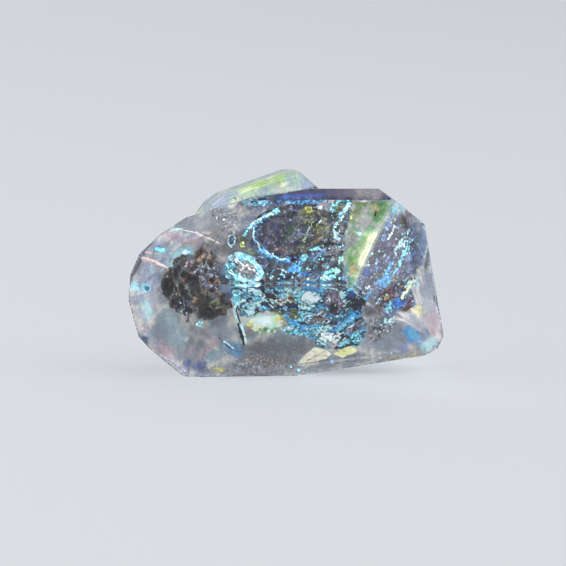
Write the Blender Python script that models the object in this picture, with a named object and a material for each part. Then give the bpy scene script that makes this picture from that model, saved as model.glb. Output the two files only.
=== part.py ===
"""Petroleum quartz: a stubby quartz crystal that lies on one of its long sides.

A smaller crystal has grown onto its back. A lump of bitumen and pockets filled with oil are sealed
inside it. The crystal's long axis runs along X, and the side that shows the inclusions faces -Y.
The origin is on the base, straight below the long axis. Units are metres, +Z up.
"""

import math
from dataclasses import dataclass

import bmesh
import bpy
from mathutils import Matrix, Vector, noise

MM = 0.001

# The main crystal, about 22 mm long and 13 mm high
AXIS_HEIGHT = 6.2 * MM
MAIN_CENTRE = Vector((0.0, 0.0, AXIS_HEIGHT))
BLANK_SIZE = 60.0 * MM
EDGE_WEAR = 0.09 * MM
WEAR_STEPS = 2
WEAR_LIMIT = math.radians(6)

# The smaller crystal on its back, about 12 mm long, its right end raised and turned backwards
COMPANION_CENTRE = Vector((-1.6 * MM, 4.8 * MM, 9.1 * MM))
COMPANION_RISE = math.radians(18.5)
COMPANION_YAW = math.radians(11)

# The clear solid is parted along this upright plane, so that what is sealed in it can be laid in
PARTING_Y = -3.5 * MM
GAP = 0.3 * MM

# How often a ball is split to round it
FINE_SPLITS = 4
COARSE_SPLITS = 3

# The bitumen lump
LUMP_GRAIN = 0.25 * MM
LUMP_POCKET_GRAIN = 0.36 * MM
LUMP_RIPPLE = 0.13
LUMP_RIPPLE_SCALE = 1.3 / MM

# Slopes of the two front faces that the pockets follow, in degrees about the long axis
UPPER_FRONT_TURN = 59.0
LOWER_FRONT_TURN = 116.5


@dataclass(frozen=True)
class Face:
    """A flat crystal face: the way it looks out, and how far it lies from the crystal's centre.

    turn is in degrees about the long axis: 0 is up, 90 is to the front, 180 is down, 270 is back.
    lean is in degrees towards the right end of the axis, or the left end where it is negative.
    distance is in millimetres.
    """

    turn: float
    lean: float
    distance: float

    def normal(self):
        turn = math.radians(self.turn)
        lean = math.radians(self.lean)
        out = math.cos(lean)
        return Vector((math.sin(lean), -out * math.sin(turn), out * math.cos(turn)))


MAIN_FACES = {
    "crest": Face(20, 0, 7.08),
    "top": Face(352, 0, 6.45),
    "upper_front": Face(UPPER_FRONT_TURN, 0, 6.15),
    "lower_front": Face(LOWER_FRONT_TURN, 0, 5.8),
    "base": Face(180, 0, 6.2),
    "lower_back": Face(241, 1, 6.3),
    "upper_back": Face(300, 0, 6.1),
    # The left end, a low faceted dome with a rounded rim
    "left_shoulder": Face(36.5, -29.5, 7.4),
    "left_brow": Face(42.5, -36.5, 7.7),
    "left_cheek": Face(74, -49, 8.45),
    "left_chin": Face(106, -44, 8.25),
    "left_ridge": Face(345.5, -12, 5.6),
    "left_back_upper": Face(303, -36, 7.2),
    "left_back_middle": Face(272, -58, 9.6),
    "left_back_lower": Face(238, -42, 8.6),
    "rim_upper": Face(338, -27.5, 6.65),
    "rim_high": Face(344, -41.5, 8.15),
    "rim_side": Face(350.5, -65.5, 10.1),
    "rim_end": Face(295, -84, 10.8),
    "rim_low": Face(176.5, -75, 10.9),
    "rim_lower": Face(178, -45.5, 9.95),
    "rim_base": Face(181, -35.5, 9.15),
    # The right end, a blunt point
    "right_front": Face(72, 28, 8.0),
    "right_cheek": Face(62, 55, 9.65),
    "right_shoulder": Face(354.5, 37.5, 9.15),
    "right_end": Face(314, 79, 9.9),
    "right_back_upper": Face(301, 39, 9.6),
    "right_back_lower": Face(238, 37, 9.4),
    # The underside, which lifts off the base towards the right
    "right_sole": Face(175.5, 9.5, 6.45),
    "right_hem": Face(143, 4, 6.6),
    "right_heel": Face(175, 28.5, 8.95),
    "right_heel_corner": Face(182.5, 57, 10.95),
}

COMPANION_FACES = {
    "top": Face(0, 0, 3.8),
    "upper_front": Face(60, 0, 3.1),
    "lower_front": Face(120, 0, 3.2),
    "base": Face(180, 0, 3.2),
    "lower_back": Face(240, 0, 3.2),
    "upper_back": Face(300, 0, 3.3),
    # The right end
    "right_edge": Face(0, 18.5, 4.55),
    "right_top": Face(0, 60, 5.05),
    "right_front": Face(66, 38, 4.35),
    "right_low": Face(128, 45, 4.6),
    "right_back": Face(300, 40, 4.6),
    "right_back_low": Face(235, 42, 4.6),
    # The left end
    "left_edge": Face(0, -17, 4.2),
    "left_top": Face(0, -37, 4.55),
    "left_front": Face(60, -40, 4.5),
    "left_low": Face(150, -50, 4.9),
    "left_back": Face(290, -42, 4.7),
}


@dataclass(frozen=True)
class Ball:
    """An oval lobe of a lump: its centre and its half sizes along X, Y and Z, in millimetres."""

    centre: tuple
    radii: tuple


LUMP_BALLS = (
    Ball((-5.25, -4.05, 5.55), (1.4, 1.15, 1.15)),
    Ball((-4.35, -3.9, 5.55), (0.7, 0.7, 0.6)),
    Ball((-6.85, -2.85, 6.75), (0.85, 0.8, 1.45)),
    Ball((-7.4, -2.1, 6.2), (0.8, 0.7, 1.25)),
    Ball((-5.7, -4.0, 7.0), (1.15, 0.85, 1.0)),
    Ball((-5.35, -3.6, 8.1), (0.6, 0.6, 0.65)),
    Ball((-6.4, -2.7, 5.2), (0.9, 0.9, 0.7)),
    Ball((-5.8, -2.6, 6.3), (1.3, 1.1, 1.2)),
)


@dataclass(frozen=True)
class Pocket:
    """A pocket that lies along a front face: its middle, half sizes and how it is turned.

    The half sizes are along the crystal, up the slope of the face, and through the face.
    Sizes are in millimetres and angles in degrees.
    """

    centre: tuple
    radii: tuple
    face_turn: float
    roll: float = 0.0
    ripple: float = 0.0

    def placement(self, grow=0.0):
        """The matrix that takes a unit ball to this pocket, with its half sizes grown by so many mm."""
        scale = Matrix.Diagonal([(radius + grow) * MM for radius in self.radii] + [1.0])
        roll = Matrix.Rotation(math.radians(self.roll), 4, "Z")
        slope = Matrix.Rotation(math.radians(self.face_turn), 4, "X")
        return Matrix.Translation(Vector(self.centre) * MM) @ slope @ roll @ scale


OVAL = Pocket((0.8, -2.75, 9.7), (3.05, 2.25, 0.6), UPPER_FRONT_TURN)
CELL = Pocket((-2.75, -3.6, 7.3), (1.35, 1.0, 0.8), UPPER_FRONT_TURN)
LENS = Pocket((-1.3, -3.2, 4.25), (1.35, 0.55, 0.5), LOWER_FRONT_TURN, 8, 0.12)
BAND = Pocket((1.6, -3.9, 5.9), (1.5, 0.65, 0.5), LOWER_FRONT_TURN, 0, 0.16)

# The angular pocket's outline, as fractions of its half sizes, and how much its back tapers
CELL_OUTLINE = ((-1.0, 0.55), (-0.4, 1.0), (0.35, 0.6), (1.0, 0.0), (0.85, -0.7), (-0.2, -0.95))
CELL_TAPER = 0.7
CELL_EDGE = 0.14


def clear_scene():
    for obj in list(bpy.data.objects):
        bpy.data.objects.remove(obj, do_unlink=True)


def make_material(name, colour, roughness, transmission=0.0, ior=1.5):
    material = bpy.data.materials.new(name)
    material.use_nodes = True
    shader = material.node_tree.nodes["Principled BSDF"]
    shader.inputs["Base Color"].default_value = (*colour, 1.0)
    shader.inputs["Roughness"].default_value = roughness
    shader.inputs["Metallic"].default_value = 0.0
    shader.inputs["Transmission Weight"].default_value = transmission
    shader.inputs["IOR"].default_value = ior
    return material


def add_object(name, bm, material=None):
    """Makes a named object of a bmesh."""
    mesh = bpy.data.meshes.new(name)
    bm.to_mesh(mesh)
    bm.free()
    obj = bpy.data.objects.new(name, mesh)
    bpy.context.scene.collection.objects.link(obj)
    if material:
        mesh.materials.append(material)
    return obj


def make_guide(obj):
    """A cutter or a guide shows as a wire and isn't part of the crystal."""
    obj.hide_render = True
    obj.display_type = "WIRE"
    return obj


def add_boolean(obj, operation, other):
    modifier = obj.modifiers.new(f"{operation.title()} {other.name}", "BOOLEAN")
    modifier.operation = operation
    modifier.solver = "EXACT"
    modifier.object = other


def add_wear(obj):
    """Rounds the edges between the faces a little."""
    modifier = obj.modifiers.new("Wear", "BEVEL")
    modifier.width = EDGE_WEAR
    modifier.segments = WEAR_STEPS
    modifier.limit_method = "ANGLE"
    modifier.angle_limit = WEAR_LIMIT


def cut_crystal(faces, placement):
    """Cuts a block down to the given faces, as a convex crystal centred on the placement."""
    bm = bmesh.new()
    bmesh.ops.create_cube(bm, size=BLANK_SIZE)
    for face in faces.values():
        normal = face.normal()
        everything = bm.verts[:] + bm.edges[:] + bm.faces[:]
        cut = bmesh.ops.bisect_plane(
            bm,
            geom=everything,
            plane_co=normal * face.distance * MM,
            plane_no=normal,
            clear_outer=True,
        )
        rim = [item for item in cut["geom_cut"] if isinstance(item, bmesh.types.BMEdge)]
        if rim:
            bmesh.ops.contextual_create(bm, geom=rim)
    bmesh.ops.recalc_face_normals(bm, faces=bm.faces[:])
    bmesh.ops.transform(bm, matrix=placement, verts=bm.verts[:])
    return bm


def make_block(name, low_y, high_y):
    """A block that takes in everything between two upright planes."""
    bm = bmesh.new()
    width = high_y - low_y
    place = Matrix.Translation((0.0, (low_y + high_y) / 2, 0.0))
    size = Matrix.Diagonal((BLANK_SIZE, width, BLANK_SIZE, 1.0))
    bmesh.ops.create_cube(bm, size=1.0, matrix=place @ size)
    return make_guide(add_object(name, bm))


def add_ball(bm, placement, subdivisions, ripple, ripple_scale):
    """Adds a ball whose surface swells and sinks by a share of its radius, then places it."""
    made = bmesh.ops.create_icosphere(bm, subdivisions=subdivisions, radius=1.0)
    for vert in made["verts"]:
        spot = placement @ vert.co
        swell = 1.0 + ripple * noise.noise(spot * ripple_scale)
        vert.co = placement @ (vert.co * swell)


def make_lump(name, grow, grain, ripple, material=None):
    """Joins the lump's lobes into one closed skin."""
    bm = bmesh.new()
    for ball in LUMP_BALLS:
        size = Matrix.Diagonal([(radius + grow) * MM for radius in ball.radii] + [1.0])
        place = Matrix.Translation(Vector(ball.centre) * MM)
        add_ball(bm, place @ size, FINE_SPLITS, ripple, LUMP_RIPPLE_SCALE)
    lump = add_object(name, bm, material)
    skin = lump.modifiers.new("Skin", "REMESH")
    skin.mode = "VOXEL"
    skin.voxel_size = grain
    skin.use_smooth_shade = True
    return lump


def make_oval_pocket(name, pocket, grow, subdivisions, material=None):
    """A rounded, flattened pocket."""
    bm = bmesh.new()
    add_ball(bm, pocket.placement(grow), subdivisions, pocket.ripple, LUMP_RIPPLE_SCALE)
    obj = add_object(name, bm, material)
    obj.data.shade_smooth()
    return obj


def make_angular_pocket(name, pocket, grow, material=None):
    """A pocket with flat sides, like a hollow crystal, narrower at its back."""
    bm = bmesh.new()
    front = [bm.verts.new((x, y, 1.0)) for x, y in CELL_OUTLINE]
    back = [bm.verts.new((x * CELL_TAPER, y * CELL_TAPER, -1.0)) for x, y in CELL_OUTLINE]
    bm.faces.new(front)
    bm.faces.new(back[::-1])
    count = len(front)
    for i in range(count):
        after = (i + 1) % count
        bm.faces.new((front[after], front[i], back[i], back[after]))
    bmesh.ops.recalc_face_normals(bm, faces=bm.faces[:])
    bmesh.ops.bevel(
        bm,
        geom=bm.edges[:],
        offset=CELL_EDGE,
        segments=2,
        profile=0.5,
        affect="EDGES",
    )
    bmesh.ops.transform(bm, matrix=pocket.placement(grow), verts=bm.verts[:])
    return add_object(name, bm, material)


def make_companion():
    rise = Matrix.Rotation(-COMPANION_RISE, 4, "Y")
    yaw = Matrix.Rotation(COMPANION_YAW, 4, "Z")
    placement = Matrix.Translation(COMPANION_CENTRE) @ yaw @ rise
    companion = add_object("companion_guide", cut_crystal(COMPANION_FACES, placement))
    add_wear(companion)
    return make_guide(companion)


def make_quartz(name, companion, side, cutters, material):
    """One half of the clear solid: both crystals grown together, on one side of the parting."""
    placement = Matrix.Translation(MAIN_CENTRE)
    half = add_object(name, cut_crystal(MAIN_FACES, placement), material)
    add_wear(half)
    add_boolean(half, "UNION", companion)
    add_boolean(half, "INTERSECT", side)
    for cutter in cutters:
        add_boolean(half, "DIFFERENCE", cutter)
    return half


def main():
    clear_scene()

    clear = make_material("clear_quartz", (0.72, 0.76, 0.86), 0.05, transmission=0.9, ior=1.544)
    bitumen = make_material("bitumen", (0.06, 0.04, 0.028), 0.35)
    dark_oil = make_material("dark_oil", (0.05, 0.06, 0.13), 0.25)
    pale_oil = make_material("pale_oil", (0.38, 0.66, 0.7), 0.25)
    cream_oil = make_material("cream_oil", (0.72, 0.78, 0.6), 0.25)
    blue_oil = make_material("blue_oil", (0.12, 0.36, 0.58), 0.25)

    make_lump("bitumen_lump", 0.0, LUMP_GRAIN, LUMP_RIPPLE, bitumen)
    make_oval_pocket("oval_oil_pocket", OVAL, 0.0, FINE_SPLITS, dark_oil)
    make_angular_pocket("angular_oil_pocket", CELL, 0.0, pale_oil)
    make_oval_pocket("lens_oil_pocket", LENS, 0.0, COARSE_SPLITS, cream_oil)
    make_oval_pocket("long_oil_pocket", BAND, 0.0, COARSE_SPLITS, blue_oil)

    clearance = GAP / MM
    cutters = [
        make_lump("lump_cutter", clearance, LUMP_POCKET_GRAIN, 0.0),
        make_oval_pocket("oval_cutter", OVAL, clearance, COARSE_SPLITS),
        make_angular_pocket("angular_cutter", CELL, clearance),
        make_oval_pocket("lens_cutter", LENS, clearance, COARSE_SPLITS),
        make_oval_pocket("long_cutter", BAND, clearance, COARSE_SPLITS),
    ]
    for cutter in cutters:
        make_guide(cutter)

    companion = make_companion()
    front = make_block("front_side", -BLANK_SIZE, PARTING_Y - GAP / 2)
    back = make_block("back_side", PARTING_Y + GAP / 2, BLANK_SIZE)
    make_quartz("quartz_front", companion, front, cutters, clear)
    make_quartz("quartz_back", companion, back, cutters, clear)


main()
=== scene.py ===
"""Petroleum quartz: a clear crystal with bitumen and oil sealed inside it, on a pale floor.

The crystal's faces are cut one by one. What is sealed inside is laid where the photograph shows it, by
following the camera's view of a pixel through the front face and on, bent, into the quartz.
Lengths are in metres unless a name or comment says millimetres or pixels of the photograph.
"""

from __future__ import annotations

import logging
import math
import random
from dataclasses import dataclass, field
from enum import Enum
from functools import cached_property, lru_cache
from typing import Callable, Iterable, Sequence

import bmesh
import bpy
from mathutils import Matrix, Vector, noise

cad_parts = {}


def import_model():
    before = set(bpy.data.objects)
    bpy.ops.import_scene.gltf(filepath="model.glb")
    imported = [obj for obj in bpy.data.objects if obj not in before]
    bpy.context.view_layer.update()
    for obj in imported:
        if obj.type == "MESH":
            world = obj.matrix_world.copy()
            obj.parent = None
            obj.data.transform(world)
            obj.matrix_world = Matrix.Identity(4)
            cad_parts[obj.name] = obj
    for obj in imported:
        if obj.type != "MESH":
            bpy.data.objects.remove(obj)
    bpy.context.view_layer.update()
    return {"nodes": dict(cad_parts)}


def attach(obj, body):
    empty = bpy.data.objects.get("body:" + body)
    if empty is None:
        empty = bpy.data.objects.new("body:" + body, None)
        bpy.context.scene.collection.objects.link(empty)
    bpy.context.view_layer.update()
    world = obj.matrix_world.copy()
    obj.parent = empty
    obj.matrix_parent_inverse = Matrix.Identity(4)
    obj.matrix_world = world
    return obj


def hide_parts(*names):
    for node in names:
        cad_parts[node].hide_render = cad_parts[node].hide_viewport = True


LOG = logging.getLogger("petroleum_quartz")

MM = 0.001
QUARTZ_IOR = 1.544

Pixel = tuple[float, float]
Colour = tuple[float, float, float]
Tint = tuple[float, float, float, float]
Corners = tuple[int, ...]
Piece = bpy.types.Object
Socket = bpy.types.NodeSocket

# The corners of the part of the photograph that the crystal fills
LOW_CORNER: Pixel = (122, 164)
HIGH_CORNER: Pixel = (448, 382)

# How steeply the view from above looks down
HIGH_VIEW = math.radians(76)

# A grain finer than this, in pixels, lies over the marks
FINE_PITCH = 3.0

# Where a colour starts to fade and where it ends, as shares of its half width
SPOT_FADE = (0.45, 1.2)
STROKE_FADE = (0.45, 1.3)

# The shares of cover between which a mark's crisp edge runs, and at which its dark outline starts
CRISP_EDGE = (0.4, 0.6)
OUTLINE_EDGE = (0.05, 0.3)


class Hue(Enum):
    """Colours seen in and on the crystal, as red, green and blue from 0 to 255."""

    WHITE = (236, 247, 250)
    ICE = (188, 232, 236)
    CYAN = (128, 214, 232)
    SKY = (72, 160, 222)
    BLUE = (46, 106, 184)
    ROYAL = (38, 62, 150)
    NAVY = (20, 28, 72)
    INK = (10, 13, 28)
    TEAL = (48, 122, 138)
    MINT = (174, 228, 210)
    OLIVE = (92, 100, 42)
    LIME = (150, 186, 52)
    YELLOW = (222, 216, 96)
    CREAM = (238, 236, 196)
    GREEN = (58, 108, 48)
    VIOLET = (54, 42, 96)
    PLUM = (70, 56, 84)
    MAUVE = (128, 116, 136)
    LAVENDER = (160, 164, 190)
    PERI = (116, 142, 196)
    MIST = (152, 156, 168)
    STONE = (146, 142, 142)
    ROSE = (202, 172, 178)
    GREY = (116, 118, 128)
    SLATE = (66, 82, 112)
    TAUPE = (122, 114, 116)
    UMBER = (62, 42, 30)
    TAR = (22, 17, 15)
    RUST = (122, 70, 42)
    TAN = (160, 138, 104)
    SAGE = (160, 186, 148)
    FERN = (128, 170, 84)
    FOG = (150, 168, 178)
    MOSS = (88, 134, 98)
    GOLD = (176, 128, 70)
    PEARL = (226, 214, 206)

    @cached_property
    def light(self) -> Vector:
        """The colour as linear light, from 0 to 1."""
        return Vector([linear_channel(channel / 255) for channel in self.value])


def linear_channel(value: float) -> float:
    """Turns one display channel, 0 to 1, into linear light."""
    return value / 12.92 if value <= 0.04045 else ((value + 0.055) / 1.055) ** 2.4


def smooth_step(low: float, high: float, value: float) -> float:
    """Rises smoothly from 0 where the value is low to 1 where it is high."""
    share = min(1.0, max(0.0, (value - low) / (high - low)))
    return share * share * (3 - 2 * share)


def ripple(spot: Pixel, pitch: float, layer: float) -> float:
    """Returns a smooth unevenness around 0, with waves of about a pitch."""
    return noise.noise(Vector((spot[0] / pitch, spot[1] / pitch, layer)))


def strayed(spot: Pixel, stray: Vector) -> Pixel:
    """Returns a pixel moved by a stray."""
    return (spot[0] + stray.x, spot[1] + stray.y)


def turned(along: float, beside: float, degrees: float) -> Pixel:
    """Turns a pair of lengths by an angle."""
    cosine, sine = math.cos(math.radians(degrees)), math.sin(math.radians(degrees))
    return (along * cosine - beside * sine, along * sine + beside * cosine)


# Crystals


@dataclass(frozen=True)
class Face:
    """A flat crystal face: the way it looks out, and how far it lies from the crystal's centre.

    turn is in degrees about the long axis: 0 is up, 90 to the front, 180 down, 270 back. lean is in
    degrees towards the right end of the axis, negative to the left. distance is in millimetres.
    """

    turn: float
    lean: float
    distance: float

    def normal(self) -> Vector:
        """Returns the direction that the face looks in."""
        turn = math.radians(self.turn)
        lean = math.radians(self.lean)
        out = math.cos(lean)
        return Vector((math.sin(lean), -out * math.sin(turn), out * math.cos(turn)))


@dataclass(frozen=True)
class CrystalForm:
    """A convex crystal: its faces, and where it lies."""

    faces: dict[str, Face]
    centre: Vector
    rise: float = 0.0
    yaw: float = 0.0
    blank: float = 60 * MM

    def placement(self) -> Matrix:
        """Returns the matrix from the crystal's own axes to the frame's."""
        rise = Matrix.Rotation(-self.rise, 4, "Y")
        yaw = Matrix.Rotation(self.yaw, 4, "Z")
        return Matrix.Translation(self.centre) @ yaw @ rise

    def cut(self) -> bmesh.types.BMesh:
        """Cuts a block down to the faces.

        Returns:
            The crystal, with one polygon for each face.
        """
        bm = bmesh.new()
        bmesh.ops.create_cube(bm, size=self.blank)
        for face in self.faces.values():
            normal = face.normal()
            made = bmesh.ops.bisect_plane(
                bm,
                geom=bm.verts[:] + bm.edges[:] + bm.faces[:],
                plane_co=normal * face.distance * MM,
                plane_no=normal,
                clear_outer=True,
            )
            rim = [item for item in made["geom_cut"] if isinstance(item, bmesh.types.BMEdge)]
            if rim:
                bmesh.ops.contextual_create(bm, geom=rim)
        bmesh.ops.recalc_face_normals(bm, faces=bm.faces[:])
        bmesh.ops.transform(bm, matrix=self.placement(), verts=bm.verts[:])
        return bm

    @cached_property
    def planes(self) -> list[tuple[Vector, float]]:
        """Each face's outward direction in the frame, and its distance from the origin along it."""
        axes = self.placement().to_3x3()
        found = []
        for face in self.faces.values():
            normal = axes @ face.normal()
            found.append((normal, face.distance * MM + normal.dot(self.centre)))
        return found

    def entry(self, origin: Vector, direction: Vector) -> tuple[float, Vector] | None:
        """Finds where a straight line enters the crystal.

        Args:
            origin: A point of the line, outside the crystal.
            direction: The line's unit direction.

        Returns:
            How far along the line it enters, and that face's outward direction, or None on a miss.
        """
        enters, leaves, struck = -math.inf, math.inf, None
        for normal, offset in self.planes:
            facing = normal.dot(direction)
            if abs(facing) < 1e-9:
                continue
            reach = (offset - normal.dot(origin)) / facing
            if facing < 0 and reach > enters:
                enters, struck = reach, normal
            elif facing > 0:
                leaves = min(leaves, reach)
        if struck is None or enters > leaves:
            return None
        return enters, struck

    def room(self, point: Vector) -> float:
        """Returns how far a point inside is from the nearest face, in metres."""
        return min(offset - normal.dot(point) for normal, offset in self.planes)


MAIN_FORM = CrystalForm(
    centre=Vector((0.0, 0.0, 6.2 * MM)),
    faces={
        "crest": Face(20, 0, 7.08),
        "top": Face(352, 0, 6.45),
        "upper_front": Face(59, 0, 6.15),
        "lower_front": Face(116.5, 0, 5.8),
        "base": Face(180, 0, 6.2),
        "lower_back": Face(241, 1, 6.3),
        "upper_back": Face(300, 0, 6.1),
        "left_shoulder": Face(36.5, -29.5, 7.4),
        "left_brow": Face(42.5, -36.5, 7.7),
        "left_cheek": Face(74, -49, 8.45),
        "left_chin": Face(106, -44, 8.25),
        "left_ridge": Face(345.5, -12, 5.6),
        "left_back_upper": Face(303, -36, 7.2),
        "left_back_middle": Face(272, -58, 9.6),
        "left_back_lower": Face(238, -42, 8.6),
        "rim_upper": Face(338, -27.5, 6.65),
        "rim_high": Face(344, -41.5, 8.15),
        "rim_side": Face(350.5, -65.5, 10.1),
        "rim_end": Face(295, -84, 10.8),
        "rim_low": Face(176.5, -75, 10.9),
        "rim_lower": Face(178, -45.5, 9.95),
        "rim_base": Face(181, -35.5, 9.15),
        "right_front": Face(72, 28, 8.0),
        "right_cheek": Face(62, 55, 9.65),
        "right_shoulder": Face(354.5, 37.5, 9.15),
        "right_end": Face(314, 79, 9.9),
        "right_back_upper": Face(301, 39, 9.6),
        "right_back_lower": Face(238, 37, 9.4),
        "right_sole": Face(175.5, 9.5, 6.45),
        "right_hem": Face(143, 4, 6.6),
        "right_heel": Face(175, 28.5, 8.95),
        "right_heel_corner": Face(182.5, 57, 10.95),
    },
)

COMPANION_FORM = CrystalForm(
    centre=Vector((-1.6 * MM, 4.8 * MM, 9.1 * MM)),
    rise=math.radians(18.5),
    yaw=math.radians(11),
    faces={
        "top": Face(0, 0, 3.8),
        "upper_front": Face(60, 0, 3.1),
        "lower_front": Face(120, 0, 3.2),
        "base": Face(180, 0, 3.2),
        "lower_back": Face(240, 0, 3.2),
        "upper_back": Face(300, 0, 3.3),
        "right_edge": Face(0, 18.5, 4.55),
        "right_top": Face(0, 60, 5.05),
        "right_front": Face(66, 38, 4.35),
        "right_low": Face(128, 45, 4.6),
        "right_back": Face(300, 40, 4.6),
        "right_back_low": Face(235, 42, 4.6),
        "left_edge": Face(0, -17, 4.2),
        "left_top": Face(0, -37, 4.55),
        "left_front": Face(60, -40, 4.5),
        "left_low": Face(150, -50, 4.9),
        "left_back": Face(290, -42, 4.7),
    },
)


# The camera, and what it sees inside the crystal


@dataclass(frozen=True)
class Viewpoint:
    """A camera with a long lens, a little above the crystal: the photograph's, or one from behind.

    azimuth is 0 for the photograph's and grows anticlockwise as seen from above.
    """

    azimuth: float = 0.0
    aim: Vector = field(default_factory=lambda: Vector((-0.175, 0.0, 6.2)) * MM)
    distance: float = 300 * MM
    elevation: float = math.radians(6)
    pixel: float = 0.07 * MM
    frame_pixels: int = 566
    sensor: float = 36.0

    @cached_property
    def place(self) -> Matrix:
        """The camera's matrix, which looks down its own -Z."""
        turn = Matrix.Rotation(math.radians(self.azimuth), 4, "Z")
        tilt = Matrix.Rotation(math.pi / 2 - self.elevation, 4, "X")
        back = Matrix.Translation((0, 0, self.distance))
        return Matrix.Translation(self.aim) @ turn @ tilt @ back

    def lens(self) -> float:
        """Returns the focal length in millimetres."""
        return self.sensor * self.distance / (self.frame_pixels * self.pixel)

    def ray(self, spot: Pixel) -> tuple[Vector, Vector]:
        """Gives the line of sight through a pixel of the photograph.

        Args:
            spot: The pixel, from the top left corner.

        Returns:
            The camera's position and the unit direction of the line.
        """
        middle = self.frame_pixels / 2
        across = (spot[0] - middle) * self.pixel
        up = (middle - spot[1]) * self.pixel
        direction = self.place.to_3x3() @ Vector((across, up, -self.distance))
        return self.place.translation, direction.normalized()

    def pixel_at(self, point: Vector) -> Pixel:
        """Returns the pixel at which a point shows, with nothing to bend the light."""
        seen = self.place.inverted() @ point
        scale = self.distance / (-seen.z * self.pixel)
        middle = self.frame_pixels / 2
        return (middle + seen.x * scale, middle - seen.y * scale)


@dataclass(frozen=True)
class Sight:
    """Follows a line of sight into the quartz, bent where it enters.

    forms are the crystals that it looks into. It stops at the first crystal that it meets.
    """

    viewpoint: Viewpoint
    forms: tuple[CrystalForm, ...] = (MAIN_FORM, COMPANION_FORM)
    wall: float = 0.2 * MM

    def room(self, point: Vector) -> float:
        """Returns how far a point is inside the quartz, in metres."""
        return max(MAIN_FORM.room(point), COMPANION_FORM.room(point))

    def enter(self, spot: Pixel) -> tuple[Vector, Vector, Vector] | None:
        """Finds where a line of sight enters the quartz, and its way from there.

        Args:
            spot: The pixel of the photograph.

        Returns:
            The point of entry, the face's outward direction and the bent direction of the light,
            or None where the pixel misses the quartz.
        """
        origin, direction = self.viewpoint.ray(spot)
        struck = [(form.entry(origin, direction), form) for form in (MAIN_FORM, COMPANION_FORM)]
        struck = [(found, form) for found, form in struck if found]
        if not struck:
            return None
        (reach, normal), form = min(struck, key=lambda pair: pair[0][0])
        if form not in self.forms:
            return None
        facing = -normal.dot(direction)
        bend = 1 / QUARTZ_IOR
        through = math.sqrt(1 - bend * bend * (1 - facing * facing))
        bent = direction * bend + normal * (bend * facing - through)
        return origin + direction * reach, normal, bent

    def reach(self, spot: Pixel, depth: float) -> tuple[Vector, Vector] | None:
        """Finds the point that shows at a pixel, at a given depth under the face.

        Args:
            spot: The pixel of the photograph.
            depth: How far under the face, in millimetres. It is less where the crystal is thinner.

        Returns:
            The point and the face's outward direction, or None where the pixel misses the quartz.
        """
        entered = self.enter(spot)
        if entered is None:
            return None
        surface, normal, bent = entered
        step = depth * MM / abs(bent.dot(normal))
        point = surface + bent * step
        while self.room(point) < self.wall and step > self.wall:
            step *= 0.85
            point = surface + bent * step
        return (point, normal) if self.room(point) > self.wall / 3 else None

    def pixel_of(self, point: Vector) -> Pixel:
        """Finds the pixel at which a point inside the quartz shows.

        Args:
            point: The point.

        Returns:
            The pixel.
        """
        straight = self.viewpoint.pixel_at(point)
        spot = straight
        for _ in range(6):
            entered = self.enter(spot)
            if entered is None:
                break
            surface, normal, bent = entered
            depth = normal.dot(surface - point)
            reached = self.viewpoint.pixel_at(surface + bent * (depth / abs(bent.dot(normal))))
            spot = (spot[0] + straight[0] - reached[0], spot[1] + straight[1] - reached[1])
        return spot


# Meshes


@dataclass
class Skin:
    """Collects the points, faces and point colours of one mesh."""

    points: list[Vector] = field(default_factory=list)
    faces: list[Corners] = field(default_factory=list)
    tints: list[Tint] = field(default_factory=list)

    def add(self, points: Iterable[Vector], faces: Iterable[Corners], tints: Iterable[Tint]) -> None:
        """Adds a shape.

        Args:
            points: Its points.
            faces: Its faces, as indices into its own points.
            tints: One colour and strength for each point.
        """
        start = len(self.points)
        self.points.extend(points)
        self.tints.extend(tints)
        self.faces.extend(tuple(start + index for index in face) for face in faces)

    def build(self, name: str, material: bpy.types.Material) -> Piece:
        """Makes the object.

        Args:
            name: The object's name.
            material: Its finish.

        Returns:
            The object, in the scene.
        """
        mesh = bpy.data.meshes.new(name)
        mesh.from_pydata([tuple(point) for point in self.points], [], self.faces)
        paint_points(mesh, self.tints)
        mesh.materials.append(material)
        mesh.update()
        return put_in_scene(name, mesh)


def paint_points(mesh: bpy.types.Mesh, tints: Iterable[Tint]) -> None:
    """Gives each point of a mesh its colour."""
    colours = mesh.color_attributes.new(name="tint", type="FLOAT_COLOR", domain="POINT")
    colours.data.foreach_set("color", [channel for tint in tints for channel in tint])


def put_in_scene(name: str, data: bpy.types.ID) -> Piece:
    """Makes an object and puts it in the scene.

    Args:
        name: The object's name.
        data: Its mesh, light or camera.

    Returns:
        The object.
    """
    piece = bpy.data.objects.new(name, data)
    bpy.context.scene.collection.objects.link(piece)
    return piece


def mesh_of(name: str, bm: bmesh.types.BMesh) -> bpy.types.Mesh:
    """Makes a mesh of an edited one, which it frees.

    Args:
        name: The mesh's name.
        bm: The edited mesh.

    Returns:
        The mesh.
    """
    mesh = bpy.data.meshes.new(name)
    bm.to_mesh(mesh)
    bm.free()
    return mesh


def apply_modifiers(piece: Piece) -> None:
    """Turns an object's modifiers into plain mesh.

    Args:
        piece: The object.
    """
    graph = bpy.context.evaluated_depsgraph_get()
    settled = bpy.data.meshes.new_from_object(piece.evaluated_get(graph))
    piece.modifiers.clear()
    piece.data = settled


# Finishes


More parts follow.
